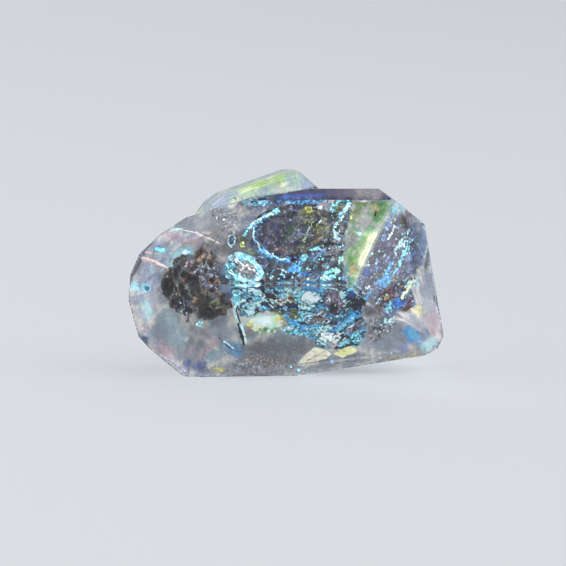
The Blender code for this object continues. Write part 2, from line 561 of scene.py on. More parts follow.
class NodeKit:
    """Builds the nodes of one material."""

    def __init__(self, name: str) -> None:
        """Starts a material with only its output.

        Args:
            name: The material's name.
        """
        self.material = bpy.data.materials.new(name)
        self.material.use_nodes = True
        self.tree = self.material.node_tree
        self.tree.nodes.clear()
        self.output = self.tree.nodes.new("ShaderNodeOutputMaterial")

    def node(
        self, kind: str, inputs: dict[str | int, Socket | Colour | float] | None = None, **settings: object
    ) -> bpy.types.Node:
        """Adds a node.

        Args:
            kind: Its type, without the ShaderNode prefix.
            inputs: What goes into its sockets: another node's socket, a colour or a number.
            **settings: Its own settings.

        Returns:
            The node.
        """
        made = self.tree.nodes.new(f"ShaderNode{kind}")
        for key, value in settings.items():
            setattr(made, key, value)
        for key, value in (inputs or {}).items():
            if isinstance(value, Socket):
                self.tree.links.new(value, made.inputs[key])
            else:
                made.inputs[key].default_value = (*value, 1.0) if isinstance(value, tuple) else value
        return made

    def noise(self, scale: float, detail: float = 4.0, rough: float = 0.5) -> Socket:
        """Returns noise around 0.5, fixed to the object, with a scale in waves per metre."""
        inputs = {"Vector": self.node("TexCoord").outputs["Object"], "Scale": scale}
        return self.node("TexNoise", {**inputs, "Detail": detail, "Roughness": rough}).outputs["Fac"]

    def remap(self, source: Socket, low: float, high: float, to_low: float, to_high: float) -> Socket:
        """Stretches a value's range, low to high, to another one, and holds it at the ends."""
        ends = {"From Min": low, "From Max": high, "To Min": to_low, "To Max": to_high}
        return self.node("MapRange", {"Value": source, **ends}).outputs["Result"]

    def bump(self, height: Socket, strength: float, distance: float) -> Socket:
        """Returns the bumpy surface direction of a height, of which 1 stands a distance in metres high."""
        inputs = {"Height": height, "Strength": strength, "Distance": distance}
        return self.node("Bump", inputs).outputs["Normal"]

    def finish(self, shader: bpy.types.Node) -> bpy.types.Material:
        """Joins the shader to the output and returns the material."""
        self.tree.links.new(shader.outputs[0], self.output.inputs["Surface"])
        return self.material


@dataclass(frozen=True)
class QuartzFinish:
    """Clear natural quartz: glassy, with faint etching, and a lavender grey body.

    etching and waves hold waves per metre, detail and roughness of the two fine unevennesses.
    """

    tint: Colour = (0.97, 0.98, 1.0)
    etching: tuple[float, float, float] = (900, 5.0, 0.6)
    roughness: tuple[float, float] = (0.0, 0.035)
    waves: tuple[float, float, float] = (420, 3.0, 0.5)
    wave_height: float = 0.02 * MM
    body_colour: Colour = (0.44, 0.64, 0.72)
    body_density: float = 95.0

    def make(self) -> bpy.types.Material:
        """Returns the material."""
        kit = NodeKit("clear_quartz")
        inputs = {
            "Base Color": self.tint,
            "Transmission Weight": 1.0,
            "IOR": QUARTZ_IOR,
            "Roughness": kit.remap(kit.noise(*self.etching), 0.45, 0.75, *self.roughness),
            "Normal": kit.bump(kit.noise(*self.waves), 0.12, self.wave_height),
        }
        body = kit.node("VolumeAbsorption", {"Color": self.body_colour, "Density": self.body_density})
        kit.tree.links.new(body.outputs[0], kit.output.inputs["Volume"])
        return kit.finish(kit.node("BsdfPrincipled", inputs))


@dataclass(frozen=True)
class TintedFinish:
    """A finish that takes its colour from each point, with a fine grain over it, and a painted glow of that
    colour.

    grain is the grain's waves per metre, and contrast is how far it darkens and lightens.
    """

    name: str
    painted_glow: float = 0.2
    roughness: float = 0.4
    grain: float = 7000.0
    contrast: float = 0.25
    relief: float = 0.0

    def coloured(self, kit: NodeKit) -> bpy.types.Node:
        """Adds the shader with its colour, glow and relief.

        Args:
            kit: The material's nodes.

        Returns:
            The shader.
        """
        tint = kit.node("VertexColor", layer_name="tint").outputs["Color"]
        grain = kit.noise(self.grain, 6.0, 0.65)
        level = kit.remap(grain, 0.3, 0.7, 1 - self.contrast, 1 + self.contrast)
        shade = kit.node("CombineColor", {0: level, 1: level, 2: level}).outputs[0]
        mixed = kit.node("Mix", {0: 1.0, 6: tint, 7: shade}, data_type="RGBA", blend_type="MULTIPLY")
        inputs = {
            "Base Color": mixed.outputs[2],
            # Painted glow: the point colour is given off as light too, though the piece is no lamp
            "Emission Color": mixed.outputs[2],
            "Emission Strength": self.painted_glow,
            "Roughness": self.roughness,
        }
        if self.relief:
            inputs["Normal"] = kit.bump(grain, 0.8, self.relief * MM)
        return kit.node("BsdfPrincipled", inputs)

    def make(self) -> bpy.types.Material:
        """Returns the material."""
        kit = NodeKit(self.name)
        return kit.finish(self.coloured(kit))


@dataclass(frozen=True)
class VeilFinish(TintedFinish):
    """A thin healed crack: see-through where its droplets are sparse, milky where they are dense.

    sparse is the cover that is left where it is thinnest.
    """

    sparse: float = 0.9

    def make(self) -> bpy.types.Material:
        """Returns the material."""
        kit = NodeKit(self.name)
        shader = self.coloured(kit)
        dense = kit.node("VertexColor", layer_name="tint").outputs["Alpha"]
        holes = kit.remap(kit.noise(self.grain * 0.6, 5.0, 0.6), 0.3, 0.6, self.sparse, 1.15)
        cover = kit.node("Math", {0: dense, 1: holes}, operation="MULTIPLY", use_clamp=True)
        kit.tree.links.new(cover.outputs[0], shader.inputs["Alpha"])
        return kit.finish(shader)


# Colour laid out as it shows in the photograph


@dataclass(frozen=True)
class Spot:
    """A soft-edged oval of colour, in pixels of the photograph.

    turn is in degrees, anticlockwise as it is seen. strength is how far it covers what is there, and
    rough is how strongly its colour is speckled.
    """

    middle: Pixel
    radii: Pixel
    hue: Hue
    strength: float = 0.8
    turn: float = 0.0
    rough: float = 0.3

    def cover(self, spot: Pixel, ragged: float) -> float:
        """Gives how much of the spot's colour shows at a pixel.

        Args:
            spot: The pixel.
            ragged: A local unevenness, around 0, that breaks the spot's edge.

        Returns:
            A share from 0 to its strength.
        """
        across, down = spot[0] - self.middle[0], spot[1] - self.middle[1]
        reach = max(self.radii) * 1.6
        if abs(across) > reach or abs(down) > reach:
            return 0.0
        along, beside = turned(across, down, self.turn)
        away = math.hypot(along / self.radii[0], beside / self.radii[1]) + ragged
        return self.strength * (1 - smooth_step(*SPOT_FADE, away))


@dataclass(frozen=True)
class Stroke:
    """A soft-edged line of colour along a path, in pixels of the photograph.

    strength and rough are as they are for a spot.
    """

    path: tuple[Pixel, ...]
    width: float
    hue: Hue
    strength: float = 0.8
    rough: float = 0.3

    @cached_property
    def line(self) -> list[Pixel]:
        """The smooth curve through the path."""
        return smooth_path(self.path, 2.0)

    def cover(self, spot: Pixel, ragged: float) -> float:
        """Gives how much of the line's colour shows at a pixel.

        Args:
            spot: The pixel.
            ragged: A local unevenness, around 0, that breaks the line's edge.

        Returns:
            A share from 0 to its strength.
        """
        reach = 2 * self.width + 4
        if all(math.dist(spot, place) > reach for place in self.line[::3] + self.line[-1:]):
            return 0.0
        away = 2 * path_distance(spot, self.line) / self.width + 0.6 * ragged
        return self.strength * (1 - smooth_step(*STROKE_FADE, away))


def painted(*rows: tuple[float | Hue | tuple[Pixel, ...], ...]) -> tuple[Spot | Stroke, ...]:
    """Makes a spot or a stroke of each row of a table.

    Args:
        *rows: A spot's middle, across and down, its half length and half width, its hue and what else
            it takes, or a stroke's path, width, hue and what else it takes.

    Returns:
        The spots and strokes.
    """
    return tuple(
        Stroke(*row) if isinstance(row[0], tuple) else Spot(row[:2], row[2:4], *row[4:]) for row in rows
    )


@dataclass(frozen=True)
class Grain:
    """Blotches of about one size that lie over a mottle.

    hues run from a blotch's edge to its middle. pitch is its size in pixels, share how much of the
    area they take up, and slender length over width. heading is the way they point, in degrees
    anticlockwise. zone is the oval that holds them.
    """

    hues: tuple[Hue, ...]
    pitch: float
    share: float
    slender: float = 1.0
    heading: float = 0.0
    zone: Spot | None = None

    def paint(self, colour: Vector, spot: Pixel, ragged: float, seed: float) -> Vector:
        """Lays the blotches over a colour.

        Args:
            colour: The colour under them.
            spot: The pixel.
            ragged: A local unevenness that breaks the zone's edge.
            seed: Shifts the blotches.

        Returns:
            The colour with the blotches on it.
        """
        strength = self.zone.cover(spot, ragged) if self.zone else 1.0
        if strength <= 0:
            return colour
        along, beside = turned(*spot, self.heading)
        place = Vector((along / self.slender, beside, 0)) / self.pitch
        place.z = seed * 3.7 + self.pitch * 1.3 + self.share * 11
        over = blotch_height(place) - blotch_level(self.share)
        if over <= 0:
            return colour
        return colour.lerp(run_through(self.hues, over / 0.3), strength * smooth_step(0.0, 0.08, over))


def run_through(hues: tuple[Hue, ...], share: float) -> Vector:
    """Gives a colour out of a row of hues that run into one another.

    Args:
        hues: The row.
        share: How far along it, from 0 to 1.

    Returns:
        The colour.
    """
    run = min(0.999, max(0.0, share)) * (len(hues) - 1)
    low = int(run)
    high = min(low + 1, len(hues) - 1)
    return hues[low].light.lerp(hues[high].light, run - low)


def blotch_height(place: Vector) -> float:
    """Returns the uneven field that blotches stand out of, around 0."""
    return noise.noise(place) + 0.5 * noise.noise(place * 2.2)


@lru_cache(maxsize=None)
def blotch_level(share: float) -> float:
    """Returns the level that a share of the field lies above."""
    tries = 3000
    heights = sorted(blotch_height(Vector((0.377, 0.291, 0.173)) * step) for step in range(tries))
    return heights[int((1 - share) * (tries - 1))]


def speckled(colour: Vector, spot: Pixel, rough: float, layer: float, coarse: float = 2.0) -> Tint:
    """Gives a colour with a fine speckle on it and full cover.

    Args:
        colour: The colour.
        spot: The pixel.
        rough: How strong the speckle is.
        layer: Shifts the speckle.
        coarse: Its coarser pitch, in pixels.

    Returns:
        Red, green, blue and full cover.
    """
    place = Vector((*spot, layer))
    speckle = noise.noise(place / coarse) + 0.6 * noise.noise(place / 0.9)
    return (*(colour * math.exp(1.6 * rough * speckle)), 1.0)


@dataclass(frozen=True)
class Mottle:
    """Colours that run into one another in blotches, with a finer speckle over them.

    pitch is a blotch's size in pixels, and cover is how dense it is, from 0 to 1. veins is how dark
    the hairlines are that run through it, from 0 to 1. marks lie over the coarse grains and under the
    fine ones, each with a crisp edge and a dark outline.
    """

    hues: tuple[Hue, ...]
    pitch: float = 12.0
    cover: float = 0.6
    rough: float = 0.3
    spots: tuple[Spot | Stroke, ...] = ()
    grains: tuple[Grain, ...] = ()
    veins: float = 0.0
    marks: tuple[Spot | Stroke, ...] = ()

    def tint(self, spot: Pixel, seed: float = 0.0) -> Tint:
        """Gives the colour and cover at a pixel.

        Args:
            spot: The pixel.
            seed: Shifts the blotches.

        Returns:
            Red, green, blue and cover.
        """
        place = Vector((*spot, seed * 31.7))
        wave = noise.noise(place / self.pitch) + 0.5 * noise.noise(place * 2.3 / self.pitch)
        colour = run_through(self.hues, 0.5 + 0.75 * wave)
        ragged = 0.35 * noise.noise(place / 9) + 0.25 * noise.noise(place / 3.5)
        cover, rough = self.cover, self.rough
        stray = noise.noise_vector(place / 5) * 1.5 + noise.noise_vector(place / 1.9) * 0.8
        near = strayed(spot, stray)
        for patch in self.spots:
            share = patch.cover(near, ragged)
            if share > 0:
                colour = colour.lerp(patch.hue.light, share)
                cover += (max(cover, 0.93) - cover) * share
                rough += (patch.rough - rough) * share
        for grain in self.grains:
            if grain.pitch >= FINE_PITCH:
                colour = grain.paint(colour, spot, ragged, seed)
        near = strayed(spot, stray + noise.noise_vector(place / 2.6) * 1.3)
        for mark in self.marks:
            share = mark.cover(near, 1.1 * ragged)
            if share > 0:
                inner = smooth_step(*CRISP_EDGE, share)
                outline = smooth_step(*OUTLINE_EDGE, share) * (1 - inner)
                colour = colour.lerp(Hue.INK.light, 0.75 * outline).lerp(mark.hue.light, inner)
                rough += (mark.rough - rough) * inner
        for grain in self.grains:
            if grain.pitch < FINE_PITCH:
                colour = grain.paint(colour, spot, ragged, seed)
        speckle = noise.noise(place / 2.1) + 0.7 * noise.noise(place / 1.1)
        colour *= math.exp(1.5 * rough * speckle - 0.16 * rough * rough)
        if self.veins:
            line = abs(noise.noise(place / 4.5) + 0.4 * noise.noise(place / 1.8))
            colour *= 1 - self.veins * (1 - smooth_step(0.02, 0.12, line))
        return (*colour, cover)


def inside_outline(spot: Pixel, outline: Sequence[Pixel]) -> bool:
    """Tells whether a pixel lies inside a closed outline.

    Args:
        spot: The pixel.
        outline: The outline's corners.

    Returns:
        True inside.
    """
    found = False
    before = outline[-1]
    for corner in outline:
        if (corner[1] > spot[1]) != (before[1] > spot[1]):
            share = (spot[1] - before[1]) / (corner[1] - before[1])
            if spot[0] < before[0] + share * (corner[0] - before[0]):
                found = not found
        before = corner
    return found


def path_distance(spot: Pixel, path: Sequence[Pixel]) -> float:
    """Gives how far a pixel is from the nearest stretch of a path.

    Args:
        spot: The pixel.
        path: The path's points.

    Returns:
        The distance in pixels.
    """
    nearest = math.inf
    place, before = Vector(spot), Vector(path[0])
    for corner in path[1:]:
        after = Vector(corner)
        side = after - before
        share = (place - before).dot(side) / max(side.length_squared, 1e-9)
        foot = before + side * min(1.0, max(0.0, share))
        nearest = min(nearest, (place - foot).length)
        before = after
    return nearest


def edge_distance(spot: Pixel, outline: Sequence[Pixel]) -> float:
    """Returns how far a pixel is from the nearest side of a closed outline."""
    return path_distance(spot, (*outline, outline[0]))


def corners_of(outline: Sequence[Pixel], margin: float = 0.0) -> tuple[Pixel, Pixel]:
    """Returns the top left and bottom right pixels of a box around an outline."""
    across, down = zip(*outline)
    return (min(across) - margin, min(down) - margin), (max(across) + margin, max(down) + margin)


def lay_sheet(
    sight: Sight,
    skin: Skin,
    corners: tuple[Pixel, Pixel],
    pitch: float,
    paint: Callable[[Pixel], Tint | None],
    depth_at: Callable[[Pixel], float],
    longest: float,
    parted: bool = True,
) -> None:
    """Adds a sheet that shows as a grid of pixels.

    Args:
        sight: The view that places it.
        skin: The skin that takes it.
        corners: The grid's top left and bottom right pixels.
        pitch: The distance between its points, in pixels.
        paint: Gives the colour at a pixel, or None where the sheet is open.
        depth_at: Gives the depth at a pixel, in millimetres.
        longest: The longest diagonal that a face may have, in metres.
        parted: Whether the sheet is parted where the crystal's edges cross it.
    """
    (left, top), (right, bottom) = corners
    index: dict[Pixel, int] = {}
    points, normals, tints = [], [], []
    for row in range(int((bottom - top) / pitch) + 2):
        for column in range(int((right - left) / pitch) + 2):
            spot = (left + column * pitch, top + row * pitch)
            tint = paint(spot)
            found = sight.reach(spot, depth_at(spot)) if tint else None
            if found:
                index[column, row] = len(points)
                points.append(found[0])
                normals.append(found[1].copy())
                tints.append(tint)
    skin.add(points, grid_faces(index, points, longest, normals if parted else ()), tints)


def grid_faces(
    index: dict[Pixel, int], points: Sequence[Vector], longest: float, normals: Sequence[Vector] = ()
) -> list[Corners]:
    """Joins the points of a grid, where all four corners of a cell are there and near each other.

    Args:
        index: Each point's place in the list, by its column and row.
        points: The points.
        longest: The longest diagonal that a face may have.
        normals: Where given, a cell stays open unless its corners all have the same one.

    Returns:
        The faces.
    """
    faces = []
    for column, row in index:
        corners = [(column, row), (column, row + 1), (column + 1, row + 1), (column + 1, row)]
        if all(corner in index for corner in corners):
            face = tuple(index[corner] for corner in corners)
            ends = [points[place] for place in face]
            if normals and len({normals[place].freeze() for place in face}) > 1:
                continue
            if max((ends[0] - ends[2]).length, (ends[1] - ends[3]).length) < longest:
                faces.append(face)
    return faces


def curve_point(first: Pixel, second: Pixel, third: Pixel, fourth: Pixel, share: float) -> Pixel:
    """Gives a point between the second and third of four points on a smooth curve.

    Args:
        first: The point before.
        second: The start.
        third: The end.
        fourth: The point after.
        share: How far from the start, 0 to 1.

    Returns:
        The point.
    """
    made = []
    for a, b, c, d in zip(first, second, third, fourth):
        cubic = (3 * b - a - 3 * c + d) * share**3
        square = (2 * a - 5 * b + 4 * c - d) * share**2
        made.append(0.5 * (2 * b + (c - a) * share + square + cubic))
    return (made[0], made[1])


def smooth_path(path: Sequence[Pixel], pitch: float) -> list[Pixel]:
    """Runs a smooth curve through the points of a path.

    Args:
        path: The points.
        pitch: The distance between the new points.

    Returns:
        The new points.
    """
    ends = (path[0], *path, path[-1])
    line: list[Pixel] = []
    for first, second, third, fourth in zip(ends, ends[1:], ends[2:], ends[3:]):
        steps = max(1, round(math.dist(second, third) / pitch))
        for step in range(steps):
            line.append(curve_point(first, second, third, fourth, step / steps))
    line.append(path[-1])
    return line


# What is sealed in the quartz, seen through its faces


@dataclass
class Inclusion:
    """Anything sealed in the quartz that is laid out by its pixels in a view."""

    sight: Sight

    def settle(self, skin: Skin, name: str, finish: TintedFinish, slot: str) -> Piece:
        """Makes the object of a skin and has it ride with the crystal.

        Args:
            skin: The skin.
            name: The object's name.
            finish: Its finish.
            slot: The record's material slot; not used.

        Returns:
            The object.
        """
        piece = skin.build(name, finish.make())
        piece.data.shade_smooth()
        piece.visible_shadow = False
        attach(piece, "root")
        LOG.info("%s has %d faces", name, len(piece.data.polygons))
        return piece


@dataclass
class Veil(Inclusion):
    """A sheet of tiny droplets under the faces that a view shows.

    depth and wave are in millimetres. longest is how long a face's diagonal may be, in metres. sinks
    are ovals where it lies deeper, each by its strength.
    """

    name: str
    mottle: Mottle
    finish: VeilFinish
    depth: float
    corners: tuple[Pixel, Pixel] = (LOW_CORNER, HIGH_CORNER)
    pitch: float = 1.1
    wave: float = 0.2
    longest: float = 2.2 * MM
    seed: float = 0.0
    parted: bool = True
    sinks: tuple[Spot, ...] = ()

    def depth_at(self, spot: Pixel) -> float:
        """Returns how deep the sheet lies at a pixel, in millimetres."""
        depth = self.depth + self.wave * ripple(spot, 22, 3.1 + self.seed)
        return depth + sum(sink.cover(spot, 0.0) for sink in self.sinks)

    def paint(self, spot: Pixel) -> Tint:
        """Returns the colour and cover at a pixel."""
        return self.mottle.tint(spot, self.seed)

    def build(self) -> Piece:
        """Makes the sheet.

        Returns:
            The object.
        """
        skin = Skin()
        looks = (self.pitch, self.paint, self.depth_at, self.longest, self.parted)
        lay_sheet(self.sight, skin, self.corners, *looks)
        return self.settle(skin, self.name, self.finish, "clear_quartz")


@dataclass(frozen=True)
class FleckCloud:
    """Many small drops and flakes inside an outline, in pixels of the photograph.

    hues holds the colours, one more often where it is repeated. size is the least and greatest half
    length, and slender is length over width. heading is the way they point, in degrees
    anticlockwise, give or take spread.
    """

    outline: tuple[Pixel, ...]
    count: int
    hues: tuple[Hue, ...]
    size: tuple[float, float] = (0.45, 1.5)
    depth: tuple[float, float] = (1.0, 1.8)
    slender: float = 1.6
    heading: float = 0.0
    spread: float = 90.0
    seed: int = 1

    def add(self, sight: Sight, skin: Skin) -> None:
        """Adds the flecks to a skin.

        Args:
            sight: The view that places them.
            skin: The skin that takes them.
        """
        chance = random.Random(self.seed * 7919 + self.count)
        low, high = corners_of(self.outline)
        made, tries = 0, 0
        while made < self.count and tries < self.count * 12:
            tries += 1
            spot = (chance.uniform(low[0], high[0]), chance.uniform(low[1], high[1]))
            if inside_outline(spot, self.outline):
                made += 1
                self.add_fleck(sight, skin, spot, chance)

    def add_fleck(self, sight: Sight, skin: Skin, spot: Pixel, chance: random.Random) -> None:
        """Adds one thin, uneven flake that faces the viewer, more or less.

        Args:
            sight: The view that places it.
            skin: The skin that takes it.
            spot: Its middle.
            chance: The source of its irregularity.
        """
        depth = chance.uniform(*self.depth)
        length = self.size[0] + (self.size[1] - self.size[0]) * chance.random() ** 2.2
        heading = self.heading + chance.uniform(-self.spread, self.spread)
        colour = chance.choice(self.hues).light * chance.uniform(0.75, 1.2)
        tilt = chance.uniform(-0.2, 0.2)
        corners = 6
        rim = []
        for corner in range(corners):
            angle = math.tau * corner / corners + chance.uniform(-0.3, 0.3)
            reach = length * chance.uniform(0.6, 1.1)
            across, up = turned(math.cos(angle) * reach, math.sin(angle) * reach / self.slender, heading)
            found = sight.reach((spot[0] + across, spot[1] - up), depth + tilt * math.cos(angle))
            if found is None:
                return
            rim.append(found[0])
        middle = sum(rim, Vector()) / corners
        away = (rim[0] - middle).cross(rim[2] - middle)
        if away.length < 1e-14 or (rim[0] - rim[3]).length > 6 * length * sight.viewpoint.pixel:
            return
        thick = away.normalized() * length * 0.16 * sight.viewpoint.pixel
        faces = []
        for corner in range(corners):
            after = (corner + 1) % corners
            faces.append((corner, after, corners))
            faces.append((after, corner, corners + 1))
        skin.add([*rim, middle + thick, middle - thick], faces, [(*colour, 1.0)] * (corners + 2))


@dataclass(frozen=True)
class Film:
    """A narrow, uneven band of oil, a crack's edge or a painted highlight, along a path in pixels of the
    photograph.

    width is in pixels and depth in millimetres. profile holds, from side to side, shares of the
    half width and how far each stands towards the face, in millimetres. longest is how long a face
    may be, in metres.
    """

    path: tuple[Pixel, ...]
    width: float
    hue: Hue
    depth: float = 1.3
    ragged: float = 0.35
    rough: float = 0.4
    profile: tuple[tuple[float, float], ...] = ((1.0, 0.0), (0.4, 0.08), (-0.4, 0.08), (-1.0, 0.0))
    longest: float = 0.5 * MM

    def add(self, sight: Sight, skin: Skin) -> None:
        """Adds the band to a skin.

        Args:
            sight: The view that places it.
            skin: The skin that takes it.
        """
        line = smooth_path(self.path, 0.8)
        last = len(line) - 1
        across = len(self.profile)
        points, normals, tints, faces = [], [], [], []
        for step, spot in enumerate(line):
            run = (Vector(line[min(step + 1, last)]) - Vector(line[max(step - 1, 0)])).normalized()
            wobble = noise.noise(Vector((spot[0] * 0.31, spot[1] * 0.31, self.depth * 9)))
            wobble += 0.6 * noise.noise(Vector((spot[0] * 0.8, spot[1] * 0.8, self.depth * 9)))
            taper = math.sin(math.pi * (step + 0.6) / (last + 1.2)) ** 0.35
            half = self.width / 2 * taper * max(0.15, 1 + self.ragged * 2.2 * wobble)
            near, found = [], []
            for side, lift in self.profile:
                near.append((spot[0] - run.y * half * side, spot[1] + run.x * half * side))
                found.append(sight.reach(near[-1], self.depth - lift))
            if not all(found):
                continue
            start = len(points)
            points.extend(place for place, _ in found)
            normals.extend(normal.copy().freeze() for _, normal in found)
            tints.extend(speckled(self.hue.light, place, self.rough, 7.5) for place in near)
            for corner in range(start, start + across - 1 if start else 0):
                face = (corner - across, corner - across + 1, corner + 1, corner)
                spread = max(math.dist(points[face[0]], points[end]) for end in face[1:])
                if spread < self.longest and len({normals[end] for end in face}) == 1:
                    faces.append(face)
        skin.add(points, faces, tints)


@dataclass(frozen=True)
class Flake:
    """A larger flake with its own rim, its outline in pixels of the photograph.

    rim_width is in pixels, rough is how strongly it is speckled, and ragged is how far its edge
    strays, in pixels. longest is how long a face's diagonal may be, in metres.
    """

    outline: tuple[Pixel, ...]
    core: Hue
    rim: Hue
    depth: float = 1.2
    rim_width: float = 1.5
    rough: float = 0.4
    ragged: float = 0.9
    pitch: float = 0.5
    longest: float = 0.5 * MM

    def add(self, sight: Sight, skin: Skin) -> None:
        """Adds the flake to a skin, where a view places it."""
        corners = corners_of(self.outline, self.ragged)
        lay_sheet(sight, skin, corners, self.pitch, self.paint, self.depth_at, self.longest)

    def depth_at(self, spot: Pixel) -> float:
        """Returns how deep it lies at a pixel, in millimetres."""
        return self.depth + 0.08 * ripple(spot, 3, 1.4)

    def paint(self, spot: Pixel) -> Tint | None:
        """Gives the colour at a pixel.

        Args:
            spot: The pixel.

        Returns:
            Red, green, blue and full cover, or None outside the ragged edge.
        """
        place = Vector((*spot, 8.1))
        stray = (noise.noise_vector(place / 2.3) + noise.noise_vector(place / 1.1) * 0.6) * self.ragged
        near = strayed(spot, stray)
        if not inside_outline(near, self.outline):
            return None
        blend = smooth_step(0.2, 1.0, edge_distance(near, self.outline) / self.rim_width)
        blend += 0.5 * self.rough * noise.noise(Vector((*near, 5.5)) / 3.0)
        colour = self.rim.light.lerp(self.core.light, min(1.0, max(0.0, blend)))
        return speckled(colour, near, self.rough, layer=5.5, coarse=1.7)


def blot(
    middle: Pixel, radii: Pixel, core: Hue, rim: Hue, depth: float = 1.0, turn: float = 0.0
) -> Flake:
    """Makes a small, uneven, roundish flake.

    Args:
        middle: Its middle.
        radii: Its half length and half width, in pixels.
        core: Its colour in the middle.
        rim: Its colour at the rim.
        depth: How deep it lies, in millimetres.
        turn: The way it points, in degrees anticlockwise.

    Returns:
        The flake.
    """
    corners = 12
    outline = []
    for corner in range(corners):
        angle = math.tau * corner / corners
        across, up = math.cos(angle), math.sin(angle)
        reach = 1 + 0.7 * noise.noise(Vector((middle[0] * 0.37 + across, middle[1] * 0.37 + up, 2.0)))
        right, rise = turned(across * radii[0] * reach, up * radii[1] * reach, turn)
        outline.append((middle[0] + right, middle[1] - rise))
    return Flake(tuple(outline), core, rim, depth, rim_width=1.6, rough=0.9, ragged=0.9)


@dataclass(frozen=True)
class Patch:
    """A finely mottled sheet of oil inside an outline, in pixels of the photograph.

    depth and wave are in millimetres. ragged is how far its edge strays, and fade how wide it thins
    out, in pixels. longest is how long a face's diagonal may be, in metres.
    """

    outline: tuple[Pixel, ...]
    mottle: Mottle
    depth: float = 1.4
    ragged: float = 2.5
    fade: float = 3.0
    pitch: float = 0.65
    wave: float = 0.12
    longest: float = 0.7 * MM

    def add(self, sight: Sight, skin: Skin) -> None:
        """Adds the sheet to a skin, where a view places it."""
        corners = corners_of(self.outline, self.ragged)
        lay_sheet(sight, skin, corners, self.pitch, self.paint, self.depth_at, self.longest)

    def depth_at(self, spot: Pixel) -> float:
        """Returns how deep it lies at a pixel, in millimetres."""
        return self.depth + self.wave * ripple(spot, 9, 6.1)

    def paint(self, spot: Pixel) -> Tint | None:
        """Gives the colour at a pixel.

        Args:
            spot: The pixel.

        Returns:
            Red, green, blue and cover, or None where the sheet is open.
        """
        stray = noise.noise_vector(Vector((spot[0] / 5, spot[1] / 5, 4.7))) * self.ragged
        near = strayed(spot, stray)
        if not inside_outline(near, self.outline):
            return None
        tint = self.mottle.tint(spot, seed=1.0)
        cover = tint[3] * smooth_step(0.0, self.fade, edge_distance(near, self.outline) + 0.2)
        return (*tint[:3], cover) if cover > 0.04 else None


@dataclass
class Scatter(Inclusion):
    """Films, flakes, flecks and patches, joined in one mesh."""

    name: str
    finish: TintedFinish
    items: tuple[Film | Flake | FleckCloud | Patch, ...]
    slot: str = "blue_oil"

    def build(self) -> Piece:
        """Makes the mesh.

        Returns:
            The object.
        """
        skin = Skin()
        for item in self.items:
            item.add(self.sight, skin)
        return self.settle(skin, self.name, self.finish, self.slot)


@dataclass
class HealedFracture(Inclusion):
    """A flat healed crack across the crystal, mottled with droplets.

    centre, radius and pitch are in millimetres. turn and lean give its slope as they do a face's.
    """

    name: str
    centre: tuple[float, float, float]
    turn: float
    lean: float
    radius: float
    mottle: Mottle
    finish: VeilFinish
    seed: float = 0.0
    pitch: float = 0.13
    pixel: float = 0.07

    def build(self) -> Piece:
        """Makes the sheet, cut off a little inside the quartz.

        Returns:
            The object.
        """
        away = Face(self.turn, self.lean, 0).normal()
        across = away.orthogonal().normalized()
        up = away.cross(across)
        reach = int(self.radius / self.pitch)
        index: dict[Pixel, int] = {}
        points, tints = [], []
        for row in range(-reach, reach + 1):
            for column in range(-reach, reach + 1):
                u, v = column * self.pitch, row * self.pitch
                wave = ripple((u, v), 1.9, self.seed)
                rim = math.hypot(u, v) / self.radius + 0.35 * wave
                point = (Vector(self.centre) + across * u + up * v + away * wave * 0.3) * MM
                if rim > 1 or self.sight.room(point) < self.sight.wall * 1.5:
                    continue
                tint = self.mottle.tint((u / self.pixel, v / self.pixel), self.seed)
                index[column, row] = len(points)
                points.append(point)
                tints.append((*tint[:3], tint[3] * (1 - smooth_step(0.6, 1.0, rim))))
        skin = Skin()
        skin.add(points, grid_faces(index, points, self.pitch * 2 * MM), tints)
        return self.settle(skin, self.name, self.finish, "clear_quartz")


# The sealed lump and pockets


@dataclass(frozen=True)
class Ball:
    """An oval lobe of the lump: its centre and half sizes in millimetres."""

    centre: tuple[float, float, float]
    radii: tuple[float, float, float]


